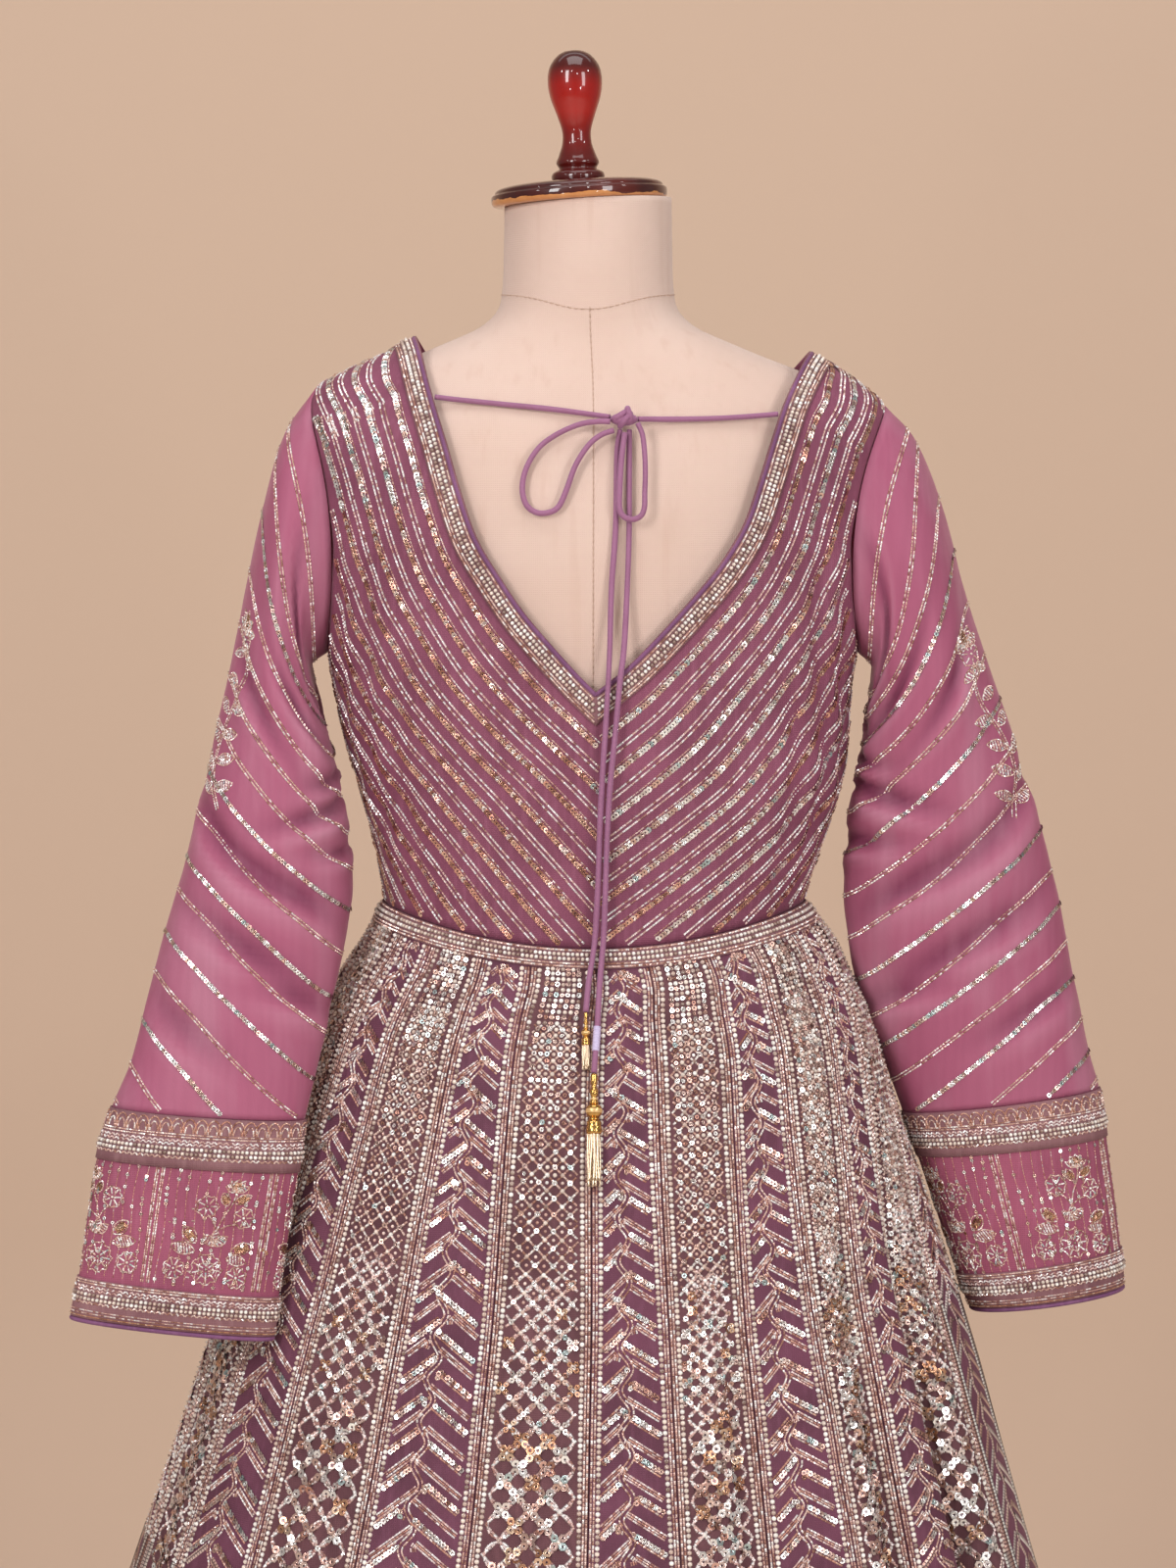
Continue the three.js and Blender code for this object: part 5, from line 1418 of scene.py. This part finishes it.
def neck_border_beads(face):
    """Beside the piping on the neck's edge: a chain, two pearl rows and two fine chains."""
    tray = Tray()
    over = SEAM_GAP + 0.9
    along = np.linspace(0, 1, 260)
    for side in (-1, 1):
        for distance, kind in ((4.1, "chain"), (6.8, "pearl"), (9.8, "pearl"), (12.5, "chain"), (14.3, "chain")):
            x, z = border_edge(face, side, along, distance)
            angle = np.abs(angle_of(x, z))
            around = side * angle if face == "back" else np.pi - side * angle
            line = np.stack([around, z], -1)
            keep = (side * (x - CENTRE_BACK_X) > 0.6) & (angle < PANEL_SIDE - 0.01)
            places = lay_along(bodice_surface, runs(line, keep), 2.9 if kind == "pearl" else 2.1)
            if kind == "pearl":
                tray.add("pearl", places, PEARL, 1.5, lift=over)
            else:
                tray.add("chip", places, ROSE, (1.1, 1.15, 1.0), lift=over, wobble=0.1)
    return tray.made(f"neck_border_{face}_beads")


neck_beads = [neck_border_beads(face) for face in ("back", "front")]


def neck_piping(face):
    """A corded edge of plum cloth round the neck."""
    shapes = []
    for side in (-1, 1):
        x, z = border_edge(face, side, np.linspace(0, 1, 70), 1.5)
        x[0] = CENTRE_BACK_X
        angle = side * np.minimum(side * angle_of(x, z), PANEL_SIDE)
        points = bodice_surface(angle if face == "back" else np.pi - angle, z)
        normals = unit(points * (1, 1, 0))
        shapes.append(tube(points + normals * 0.5, 1.55, 8))
    points, faces, _ = joined(shapes)
    made = piece(f"neck_piping_{face}", points, faces, [piping_silk])
    return made


piping = [neck_piping(face) for face in ("back", "front")]


def waist_band_beads():
    """Two pearl rows round the waist, with a cut row above them and two below."""
    tray = Tray()
    over = SEAM_GAP + 0.9
    drop = WAIST_SEAM["back"] - HEM_HEIGHT
    turns = np.linspace(0, 360, 400)
    for down, kind in ((1.3, "cut"), (4.0, "pearl"), (6.9, "pearl"), (9.5, "cut"), (11.3, "cut")):
        line = np.stack([turns, 0 * turns + down / drop], -1)
        places = lay_along(skirt_surface, [line], 3.0 if kind == "pearl" else 2.3, -1)
        if kind == "pearl":
            tray.add("pearl", places, PEARL, 1.5, lift=over)
        else:
            tray.add("chip", places, ROSE, (1.15, 1.15, 1.0), lift=over, wobble=0.1)
    return tray.made("waist_band_beads")


waist_beads = waist_band_beads()

# ---------------------------------------------------------------- beadwork: skirt

FIELD_EDGE = 7.9


def edge_rows(tray, chart):
    """On both sides of a gore: two silvery cut rows by the seam and a column of pearls beside them."""
    down = np.arange(WAIST_BAND + 1.5, chart.down[-1] - 4, 3.0)
    width = chart.width(down)
    for across, kind in ((1.1, "cut"), (3.0, "cut"), (5.6, "pearl")):
        for place in (across + 0 * down, width - across):
            line = chart.find(place, down)
            near, far = line[down < chart.bead_end], line[down >= chart.bead_end - 3]
            if kind == "cut":
                tray.add("chip", lay_along(chart.surface, [near], 2.6, -1), ROSE, (1.2, 1.15, 0.9), wobble=0.12)
                tray.ribbon(chart.surface, [far], 1.7, ROSE, -1)
            else:
                tray.add("seed", lay_along(chart.surface, [near], 3.5, -1), PEARL, 1.75)
                tray.ribbon(chart.surface, [far], 3.4, PEARL, -1, height=1.5)


def vine_beads(number, chart):
    """A waving double stem with pairs of slanting rows on both sides, sequins and cut beads by turns;
    each third row begins with a small hook."""
    tray = Tray()
    edge_rows(tray, chart)
    end = chart.down[-1] - 6
    sway = number * 1.7

    def stem(down):
        width = chart.width(down)
        return width * 0.43 + np.minimum(3.6, width * 0.08) * np.sin(TURN * down / 27 + sway)

    down = np.arange(WAIST_BAND + 3, end, 2.0)
    line = chart.find(stem(down), down)
    places = lay_along(chart.surface, [line[down < chart.bead_end]], 2.3, -1)
    double_cut(tray, places, ROSE, 2.7, (1.15, 1.1, 1.1), "chip")
    tray.ribbon(chart.surface, [line[down >= chart.bead_end - 2]], 4.2, ROSE, -1)
    rows = {True: {"cut": [], "sequin": []}, False: {"cut": [], "sequin": []}}
    start, count = WAIST_BAND + 1.0, 0
    while start < end - 20:
        for side, slope in ((-1, 0.84), (1, 0.6)):
            if side < 0:
                begin = start + 5
            else:
                begin = start
            reach = np.linspace(0, 1, 24)
            root = float(stem(np.array([begin]))[0])
            room = (root - FIELD_EDGE) if side < 0 else (float(chart.width(begin)) - FIELD_EDGE - root)
            growth = 1.15 * room * np.hypot(1, slope) * slope * 0.14
            across = root + side * (1.8 + (room + growth - 1.8) * reach)
            below = begin + (room + growth) * reach * slope
            width = chart.width(below)
            keep = (across > FIELD_EDGE) & (across < width - FIELD_EDGE) & (below < end) & (below > WAIST_BAND + 1.5)
            kind = "sequin" if (count + (side > 0)) % 2 else "cut"
            points = np.stack([across, below], -1)[keep]
            if len(points) > 2:
                if (count + 2 * (side < 0)) % 3 == 0 and len(points) > 6:
                    points = points[3:]
                    hook = points[0] + np.array([(0.2 * side, 4.6), (-0.4 * side, 2.4), (0, 0.6)]) * (1, 1)
                    points = np.concatenate([hook + (-1.2 * side, 0.6), points])
                rows[bool(begin < chart.bead_end - 25)][kind].append(chart.find(*points.T))
        start += float(np.interp(start, [0, 400, 1000], [10.2, 12.4, 18]))
        count += 1
    if rows[True]["cut"]:
        places = lay_along(chart.surface, rows[True]["cut"], 2.6, -1)
        double_cut(tray, places, BLUSH, 3.0, (1.25, 1.0, 1.1), "chip")
        tray.add("chip", places, COPPER, (1.2, 0.85, 0.7), wobble=0.1)
    if rows[True]["sequin"]:
        shining = lay_along(chart.surface, rows[True]["sequin"], 2.7, -1)
        mixed = shining.row % 3 == 0
        sequin_row(tray, shining.where(~mixed), SILVER, 2.0)
        sequin_row(tray, shining.where(mixed), ROSE, 1.95)
        tray.add("chip", shining.beside(-2.8), COPPER, (1.25, 1.1, 0.8), wobble=0.1)
    tray.ribbon(chart.surface, rows[False]["cut"], 4.2, ROSE, -1)
    tray.ribbon(chart.surface, rows[False]["sequin"], 4.2, SILVER, -1)
    return tray.made(f"gore_vine_{number:02d}_beads")


LATTICE_CELLS = table("down cells", [
    (0, 3.9), (100, 4.1), (200, 3.9), (270, 3.4), (330, 3.1), (400, 3.1), (700, 3.3), (1000, 3.3)])


def lattice_beads(number, chart):
    """Diagonal rows that cross in diamonds, a bead on each crossing, and lower down a ring of beads
    round each diamond's heart with a four-petalled flower on each crossing."""
    tray = Tray()
    edge_rows(tray, chart)
    end = chart.down[-1] - 6
    down = np.arange(WAIST_BAND + 1.5, end, 1.5)
    cells = curve_value(LATTICE_CELLS, "down", "cells", down)
    pitch = (chart.width(down) - 2 * FIELD_EDGE) / cells
    tall = np.concatenate([[0], np.cumsum(1.5 / pitch[:-1])])

    def find(x, y):
        """Chart place of a lattice place counted in cells from the gore's middle and from its top."""
        d = np.interp(y, tall, down)
        return chart.find(chart.width(d) / 2 + x * np.interp(d, down, pitch), d), d

    fine, bold, far = [], [], []
    half = cells / 2
    for slant in (-1, 1):
        for k in range(int(-half.max()) - 2, int(tall[-1] + half.max()) + 2):
            x = slant * (k - tall)
            inside = np.abs(x) < half
            if not inside.any():
                continue
            line, _ = find(x, tall)
            for run in runs(np.column_stack([line, down]), inside):
                at = run[:, 2]
                for kept, part in ((fine, (at > 50) & (at < 220)), (bold, (at >= 218) & (at < chart.bead_end)),
                                   (far, at >= chart.bead_end - 1.5)):
                    kept += [run[part, :2]] if part.sum() > 1 else []
    tray.add("chip", lay_along(chart.surface, fine, 2.6, -1), ROSE, (1.25, 1.45, 1.2), wobble=0.15)
    tray.add("chip", lay_along(chart.surface, bold, 2.8, -1), BLUSH, (1.4, 1.9, 1.3), wobble=0.18)
    tray.ribbon(chart.surface, far, 2.6, ROSE, -1, step=12)

    grid_x, grid_y = np.meshgrid(np.arange(-5, 5.01, 0.5), np.arange(0, tall[-1], 0.5))
    nodes = np.stack([grid_x.ravel(), grid_y.ravel()], -1)
    crossing = np.isclose((nodes[:, 0] + nodes[:, 1]) % 1, 0)
    at_down = np.interp(nodes[:, 1], tall, down)
    room = curve_value(LATTICE_CELLS, "down", "cells", at_down) / 2
    inside = np.abs(nodes[:, 0]) < room - 0.12
    hearts = nodes[~crossing & inside & (np.abs(nodes[:, 0]) < room - 0.4)]
    nodes = nodes[crossing & inside]
    node_down = np.interp(nodes[:, 1], tall, down)
    spots, _ = find(*nodes.T)
    high = node_down < chart.bead_end
    rows_of_nodes = np.round(nodes[:, 1] * 2).astype(int)
    pearls = high & (rows_of_nodes % 2 == 0)
    tray.add("seed", lay_spots(chart.surface, spots[pearls], -1), PEARL, 1.7, lift=0.3)
    sequins = lay_spots(chart.surface, spots[high & ~pearls], -1)
    tray.add("sequin", sequins, SILVER, (1.9, 1.9, 1), wobble=0.2, lift=0.6)
    low = node_down >= chart.bead_end
    tray.add("sequin", lay_spots(chart.surface, spots[low], -1), SILVER, (2.6, 2.6, 1), wobble=0.1, lift=0.6)

    heart_down = np.interp(hearts[:, 1], tall, down)
    dense = heart_down < 60 + 110 * dice.random(len(hearts))
    heart_spots, _ = find(*hearts.T)
    gem = dice.random(len(hearts)) < 0.4
    tray.add("seed", lay_spots(chart.surface, heart_spots[dense & gem], -1), PEARL, 1.6)
    tray.add("sequin", lay_spots(chart.surface, heart_spots[dense & ~gem], -1), ROSE, (1.6, 1.6, 1), wobble=0.25)
    small = ~dense & (heart_down < 230) & (dice.random(len(hearts)) < 0.75)
    tray.add("seed", lay_spots(chart.surface, heart_spots[small], -1), ROSE, 1.25)
    ring_turns = np.linspace(0, TURN, 19)
    ringed = (heart_down > 215) & (np.abs(hearts[:, 0]) < curve_value(LATTICE_CELLS, "down", "cells", heart_down) / 2 - 0.46)
    for keep, close in ((ringed & (heart_down < chart.bead_end), True), (ringed & (heart_down >= chart.bead_end), False)):
        centres = hearts[keep]
        if not len(centres):
            continue
        turns = ring_turns if close else np.linspace(0, TURN, 11)
        xs = centres[:, :1] + np.cos(turns) * 0.44
        ys = centres[:, 1:] + np.sin(turns) * 0.44
        lines, _ = find(xs.ravel(), ys.ravel())
        lines = list(lines.reshape(len(centres), len(turns), 2))
        if close:
            tray.add("chip", lay_along(chart.surface, lines, 2.8, -1), BLUSH, (1.35, 1.6, 1.2), wobble=0.15)
        else:
            tray.ribbon(chart.surface, lines, 2.4, COPPER, -1, step=9)
    petals = high & (node_down > 215 + 60 * dice.random(len(nodes))) & (dice.random(len(nodes)) < 0.85)
    tinted = dice.random(len(nodes))
    for radius, band in ((2.0, node_down < 310), (2.9, node_down >= 310)):
        for mixture, of_it in ((SILVER, tinted < 0.5), (ROSE, (tinted >= 0.5) & (tinted < 0.8)), (GILT, tinted >= 0.8)):
            chosen = nodes[petals & band & of_it]
            for turn in np.arange(0.5, 4) * TURN / 4:
                tips = chosen + np.array([np.cos(turn), np.sin(turn)]) * 0.2
                petal = lay_spots(chart.surface, find(*tips.T)[0], -1)
                tray.add("sequin", petal, mixture, (radius, radius, 1), wobble=0.3, lift=0.6)
    return tray.made(f"gore_lattice_{number:02d}_beads")


gore_beads = []
for kind, number, start, width in GORES:
    chart = Chart(gore_surface(start, width), np.linspace(0, 1, 41), np.linspace(0, 1, 220))
    # Single beads to here, and bead ribbons below.
    chart.bead_end = 450 if np.cos((start + width / 2) * DEG) > -0.1 else 290
    gore_beads.append(vine_beads(number, chart) if kind == "vine" else lattice_beads(number, chart))

# ---------------------------------------------------------------- beadwork: sleeves and cuffs

# Each row starts on the outer line at this distance down the sleeve.
SLEEVE_ROWS = {
    "left": [(24, "cut"), (50, "sequin"), (76, "cut"), (101, "cut"), (127, "cut"), (152, "cut"), (178, "sequin"),
             (203, "cut"), (228, "sequin"), (248, "cut"), (275, "sequin"), (300, "cut"), (330, "sequin"),
             (357, "cut"), (378, "cut")],
    "right": [(20, "cut"), (44, "cut"), (68, "sequin"), (92, "cut"), (117, "cut"), (141, "sequin"), (165, "cut"),
              (189, "cut"), (213, "sequin"), (237, "cut"), (256, "sequin"), (278, "cut"), (302, "sequin"),
              (331, "cut"), (355, "sequin"), (376, "cut")],
}


def leaf_outline(x, y, length, width, turn):
    """A pointed leaf: its half width is width/2 times the sine of the way along, to the power 0.8."""
    t = np.linspace(0, 1, 14)
    bulge = np.sin(np.pi * t) ** 0.8 * width / 2
    outline = np.concatenate([np.stack([t * length, bulge], -1), np.stack([t * length, -bulge], -1)[::-1]])
    c, s = np.cos(turn), np.sin(turn)
    return outline @ np.array([[c, s], [-s, c]]) + (x, y)


def flower(x, y, radius, petals=6):
    """Petals as short spokes round a middle: each a (place, turn, length)."""
    turns = np.arange(petals) * TURN / petals + 0.4
    middle = np.stack([x + np.cos(turns) * radius * 0.62, y + np.sin(turns) * radius * 0.62], -1)
    ring = np.linspace(0, TURN, 25)
    lobed = radius * (1 + 0.1 * np.cos(petals * (ring - 0.4)))
    return middle, turns, np.stack([x + np.cos(ring) * lobed, y + np.sin(ring) * lobed], -1)


class Motif:
    """Flowers, leaves and stems drawn in millimetres: x to the right and y up from the motif's foot."""

    def __init__(self):
        self.lines, self.gold, self.spokes, self.pearls = [], [], [], []

    def stem(self, *points):
        self.lines.append(path_through([(x, y, 0) for x, y in points], 1.0)[0][:, :2])

    def leaf(self, x, y, length, width, turn, filled):
        turn *= DEG
        self.lines.append(leaf_outline(x, y, length, width, turn))
        if filled:
            for share in (-0.22, 0.0, 0.22):
                t = np.linspace(0.2, 0.82, 5)
                spine = np.stack([t * length, share * width * np.sin(np.pi * t)], -1)
                c, s = np.cos(turn), np.sin(turn)
                self.gold.append(spine @ np.array([[c, s], [-s, c]]) + (x, y))
        else:
            for t in np.arange(0.2, 0.9, 1.9 / length):
                place = np.array([x + np.cos(turn) * t * length, y + np.sin(turn) * t * length])
                self.spokes.append((*place, turn + 1.2, width * 0.42 * np.sin(np.pi * t) ** 0.6))

    def flower(self, x, y, radius, petals=6):
        middle, turns, ring = flower(x, y, radius, petals)
        self.lines.append(ring)
        self.spokes += [(*place, turn, radius * 0.3) for place, turn in zip(middle, turns)]
        self.pearls.append((x, y))

    def sew(self, tray, chart, place, out):
        """place turns motif points into chart millimetres (across, down)."""
        mapped = lambda points: chart.find(*place(np.asarray(points, float)).T)
        tray.add("chip", lay_along(chart.surface, [mapped(line) for line in self.lines], 1.8, out), ROSE,
                 (0.9, 0.85, 0.9), wobble=0.15)
        if self.gold:
            tray.add("sequin", lay_along(chart.surface, [mapped(line) for line in self.gold], 1.8, out), GILT,
                     (1.15, 1.15, 1), tip=0.2, wobble=0.15)
        if self.spokes:
            spokes = np.array(self.spokes)
            ends = np.stack([np.cos(spokes[:, 2]), np.sin(spokes[:, 2])], -1) * np.maximum(spokes[:, 3:], 0.6)
            lines = [mapped(np.stack([middle - end, middle + end])) for middle, end in zip(spokes[:, :2], ends)]
            tray.add("chip", lay_along(chart.surface, lines, 2.2, out), SILVER, (1.15, 0.95, 1.0), wobble=0.1)
        tray.add("pearl", lay_spots(chart.surface, mapped(self.pearls), out), PEARL, 1.0)


def flowering_bush(flip):
    """A round flower with leaves and stems that climb to a tulip; flip mirrors it."""
    m = Motif()
    f = -1 if flip else 1
    side = lambda turn: turn if f > 0 else 180 - turn
    m.flower(0, 10, 9.5, 9)
    m.flower(0, 10, 5, 6)
    m.flower(-21 * f, 9, 6.6, 8)
    m.flower(20 * f, 6, 6.4, 8)
    m.leaf(-9 * f, 21, 16, 7.5, side(172), False)
    m.leaf(-9 * f, 26, 13, 8, side(135), True)
    m.leaf(14 * f, 22, 14, 7, side(18), True)
    m.leaf(12 * f, 18, 13, 6.5, side(-10), False)
    for turn in (40, 90, 140):
        m.leaf(3 * f, 25, 9.5, 5.5, side(turn), False)
    m.stem((3 * f, 34), (6 * f, 43), (10 * f, 50), (12 * f, 57))
    m.stem((3 * f, 35), (0, 40), (-4 * f, 44))
    m.stem((4 * f, 35), (10 * f, 38), (16 * f, 39))
    m.flower(-5 * f, 49, 6.6, 7)
    m.flower(19 * f, 43, 6.2, 7)
    m.leaf(8 * f, 50, 9, 5.5, side(118), True)
    m.leaf(12 * f, 52, 11, 5.5, side(28), True)
    m.leaf(12 * f, 58, 8.5, 7, side(90), True)
    for turn in (25, 60, 120, 155):
        m.leaf(12 * f, 59, 8, 3.6, side(turn), False)
    m.pearls += [(12 * f, 57.5), (-10 * f, 20), (13 * f, 16.5)]
    return m


def sleeve_sprig():
    """A bent stem with leaves on both sides and a crown of petals on top, 100 mm tall."""
    m = Motif()
    m.stem((8, 0), (1, 14), (-1, 30), (3, 48), (9, 64), (10, 78), (7, 86))
    m.stem((9.8, 1), (2.8, 15), (0.9, 30), (4.8, 47.5), (10.8, 63.5), (11.8, 78), (8.6, 86))
    for x, y, turn, length in ((4, 8, 160, 11), (4, 10, 30, 12), (0, 20, 150, 12), (1, 24, 25, 13), (-1, 34, 140, 11),
                               (1, 38, 20, 12), (3, 50, 150, 10), (5, 54, 10, 11), (8, 66, 165, 10)):
        m.leaf(x, y, length * 1.25, 6.0, turn, False)
    m.flower(7, 91, 6.5, 7)
    for turn in (20, 55, 90, 125, 160):
        m.leaf(7, 95, 11, 5, turn, turn == 90)
    for turn in (-20, 200):
        m.leaf(7, 84, 12, 5, turn, False)
    return m


def sleeve_beads(name):
    """Slanting rows round the sleeve and a sprig along its outer line."""
    tray = Tray()
    surface = sleeve_surface(name)
    alpha = np.linspace(0.004, TURN - 0.004, 260)
    drawn = {"cut": [], "sequin": []}
    for start, kind in SLEEVE_ROWS[name]:
        rise = 45 + 0.13 * start
        down = start + rise * (1 - np.cos(alpha)) / 2
        drawn[kind] += runs(np.stack([alpha, down], -1), (down > 6) & (down < CUFF_TOP - 2))
    drawn["cut"] += [np.stack([alpha, 0 * alpha + 13], -1)]
    double_cut(tray, lay_along(surface, drawn["cut"], 2.4), ROSE, 1.9, (1.1, 0.95, 1.0), "chip")
    shining = lay_along(surface, drawn["sequin"], 2.4)
    sequin_row(tray, shining, SILVER, 1.75)
    end = CUFF_TOP - 0.5
    visible = (TURN, 0) if name == "left" else (0, TURN)
    chart = Chart(surface, np.linspace(*visible, 181), np.linspace(0, end, 120), 0)
    for mirrored in (False, True):
        def place(points):
            across, down = 22 + 1.3 * points[:, 0], 290 - 1.3 * points[:, 1]
            return np.stack([chart.width(down) - across if mirrored else across, down], -1)
        sleeve_sprig().sew(tray, chart, place, 1)
    return tray.made(f"sleeve_{name}_rows")


CUFF_QUARTER = {"left": 5.06, "right": 1.84}


def cuff_beads(name):
    """Scallops, laces and pearls on both bands, and between them four flowering bushes set apart by
    upright bars, over fine hanging strands."""
    tray = Tray()
    surface = sleeve_surface(name)
    around = np.linspace(0, TURN, 400)
    over = SEAM_GAP + 0.9

    def ring(down, pitch, bead, mixture, size, lift=over, spin=0.0, wobble=0.1):
        places = lay_along(surface, [np.stack([around, 0 * around + down], -1)], pitch)
        if np.ndim(spin):
            spin = np.where(places.step % 2, *spin)
        tray.add(bead, places, mixture, size, lift=lift, spin=spin, wobble=wobble)

    for band in (CUFF_TOP + 12, CUFF_HEM_BAND + 2):
        for down in (band - 0.8, band + 0.8):
            ring(down, 2.0, "chip", ROSE, (1.0, 0.9, 0.9))
        for down in (band + 3.2, band + 5.2, band + 13.4):
            ring(down, 1.9, "chip", BLUSH if down < band + 10 else ROSE, (1.15, 1.0, 1.0), spin=(0.7, -0.7))
        for down in (band + 8.0, band + 10.9):
            ring(down, 2.9, "pearl", PEARL, 1.45)
        if band < CUFF_HEM_BAND:
            for down in (band + 17.2, band + 18.8):
                ring(down, 2.0, "cut", SILVER, (0.9, 0.7, 0.8), lift=0.1)
        else:
            for down in (band + 18.6, band + 20.4):
                ring(down, 2.0, "cut", ROSE, (0.95, 0.75, 0.9))
            ring(band + 22.4, 1.8, "cut", GILT, (0.9, 0.8, 0.9))

    chart = Chart(surface, np.linspace(0, TURN, 241), np.linspace(CUFF_TOP, CUFF_END, 60), 0)
    depth = lambda down: down - CUFF_TOP
    length = float(chart.width(depth(390)))
    loops = int(length / 7.6)
    sweep = np.linspace(0, np.pi, 12)
    for reach, tall in ((4.6, 9.6), (2.5, 6.2)):
        lines = [chart.find((i + 0.5) * length / loops + np.cos(sweep) * reach,
                            depth(394.5) - np.sin(sweep) * tall) for i in range(loops)]
        tray.add("chip", lay_along(surface, lines, 1.9), COPPER if reach > 3 else ROSE, (0.95, 0.9, 0.95), lift=over)

    body = float(chart.width(depth(455)))
    # Where the first upright bar stands, as a length round the cuff.
    first = float(np.interp(CUFF_QUARTER[name], chart.us, chart.across[int(len(chart.vs) * 0.55)]))
    quarter = body / 4
    upright = np.linspace(depth(CUFF_BAND_END + 0.5), depth(CUFF_HEM_BAND - 1), 40)
    share = lambda across, down: (across % body) / body * chart.width(down)
    for i in range(4):
        bar = first + i * quarter
        for offset in (-2.6, -1.2, 1.2, 2.6):
            line = chart.find(share(bar + offset, upright), upright)
            tray.add("chip", lay_along(surface, [line], 1.9), ROSE, (0.95, 0.85, 0.9), wobble=0.1)
        for offset in np.arange(8, quarter - 5, 6.4):
            line = chart.find(share(bar + offset + 0.8 * np.sin(upright / 9 + offset), upright), upright)
            thread = lay_along(surface, [line], 2.0)
            tray.add("chip", thread, COPPER, (0.75, 0.5, 0.5))
            tray.add("sequin", thread.where(dice.random(len(thread)) < 0.17), SILVER, (1.3, 1.3, 1.4), wobble=0.12)
        middle = bar + quarter / 2
        place = lambda p: np.stack([share(middle + p[:, 0] - 2, depth(489 - p[:, 1])), depth(489 - p[:, 1])], -1)
        flowering_bush(i % 2 == 1).sew(tray, chart, place, 1)
    return tray.made(f"cuff_{name}_beads")


def cuff_piping(name):
    """A rolled edge of plum cloth on the cuff's hem."""
    around = np.linspace(0, TURN, 91)
    points = sleeve_surface(name)(around, 0 * around + CUFF_END - 1.2)
    body = tube(points, 1.5, 8)
    made = piece(f"cuff_piping_{name}", *body, [piping_silk])
    return made


sleeve_rows = [sleeve_beads(name) for name in ("left", "right")]
cuff_rows = [cuff_beads(name) for name in ("left", "right")]
cuff_edges = [cuff_piping(name) for name in ("left", "right")]

# ---------------------------------------------------------------- stage and light


def backdrop():
    """A pale floor that curves up into a tan wall behind the stand."""
    bend = np.linspace(0, np.pi / 2, 14)
    y = np.concatenate([[-4000, 0], 1500 + 500 * np.sin(bend), [2000]])
    z = np.concatenate([[0, 0], 500 - 500 * np.cos(bend), [4200]])
    x = np.linspace(-4500, 4500, 4)
    points = np.stack(np.broadcast_arrays(x[None, :], y[:, None], z[:, None]), -1).reshape(-1, 3)
    mesh = bpy.data.meshes.new("studio_sweep")
    quads = grid_quads(len(y), len(x))
    mesh.from_pydata((points * MM).tolist(), [], quads.tolist())
    for polygon in mesh.polygons:
        polygon.use_smooth = True
    f = Finish("studio_paper", Roughness=0.9, Specular_IOR_Level=0.1)
    height = f.add("ShaderNodeSeparateXYZ", out=2, Vector=f.object)
    tone = f.ramp(f.add("ShaderNodeMapRange", Value=height, From_Min=0.0, From_Max=0.1),
                  (0.0, "e6dcd0"), (1.0, "d9bca6"))
    f.done(Base_Color=tone)
    # Seen from outside, the paper lets the view through to the garment.
    outside = f.add("ShaderNodeNewGeometry", out=6)
    clear = f.add("ShaderNodeBsdfTransparent")
    f.tree.links.new(f.add("ShaderNodeMixShader", Fac=outside, _1=f.shader.outputs[0], _2=clear), f.output.inputs[0])
    mesh.materials.append(f.material)
    sweep = bpy.data.objects.new("studio_sweep", mesh)
    bpy.context.scene.collection.objects.link(sweep)


backdrop()


def softbox(name, at, aim, size, watts, tint=(1, 1, 1)):
    """An area light at a place in metres, turned to face another place."""
    light = bpy.data.lights.new(name, "AREA")
    light.shape = "RECTANGLE"
    light.size, light.size_y = size
    light.energy = watts
    light.color = tint
    lamp = bpy.data.objects.new(name, light)
    lamp.location = at
    towards = np.array(aim, float) - np.array(at, float)
    towards /= np.linalg.norm(towards)
    lamp.rotation_euler = (np.arccos(-towards[2]), 0, np.arctan2(towards[0], -towards[1]) + np.pi)
    bpy.context.scene.collection.objects.link(lamp)


softbox("key_softbox", (-1.7, -2.6, 2.2), (0, 0, 1.1), (0.7, 1.5), 46)
softbox("fill_softbox", (1.8, -2.4, 1.9), (0, 0, 1.05), (0.7, 1.5), 30)
softbox("top_softbox", (0, -0.6, 3.2), (0, 0.1, 1), (1.6, 1.2), 18)
for number, (x, y, z) in enumerate([(-2.3, -1.4, 2.6), (-0.7, -3.0, 2.9), (0.6, -3.1, 2.5), (2.3, -1.2, 2.7),
                                  (-1.2, -3.2, 0.7), (1.4, -3.0, 0.9)]):
    softbox(f"glint_lamp_{number}", (x, y, z), (0, 0, 0.9), (0.16, 0.16), 5)
softbox("wall_light", (0, 0.7, 3.4), (0, 2.0, 1.2), (3.6, 0.6), 8)
world = bpy.data.worlds.new("studio_air")
world.use_nodes = True
world.node_tree.nodes["Background"].inputs[0].default_value = (1.0, 0.97, 0.94, 1)
world.node_tree.nodes["Background"].inputs[1].default_value = 0.27
bpy.context.scene.world = world
bpy.context.scene.view_settings.view_transform = "Standard"
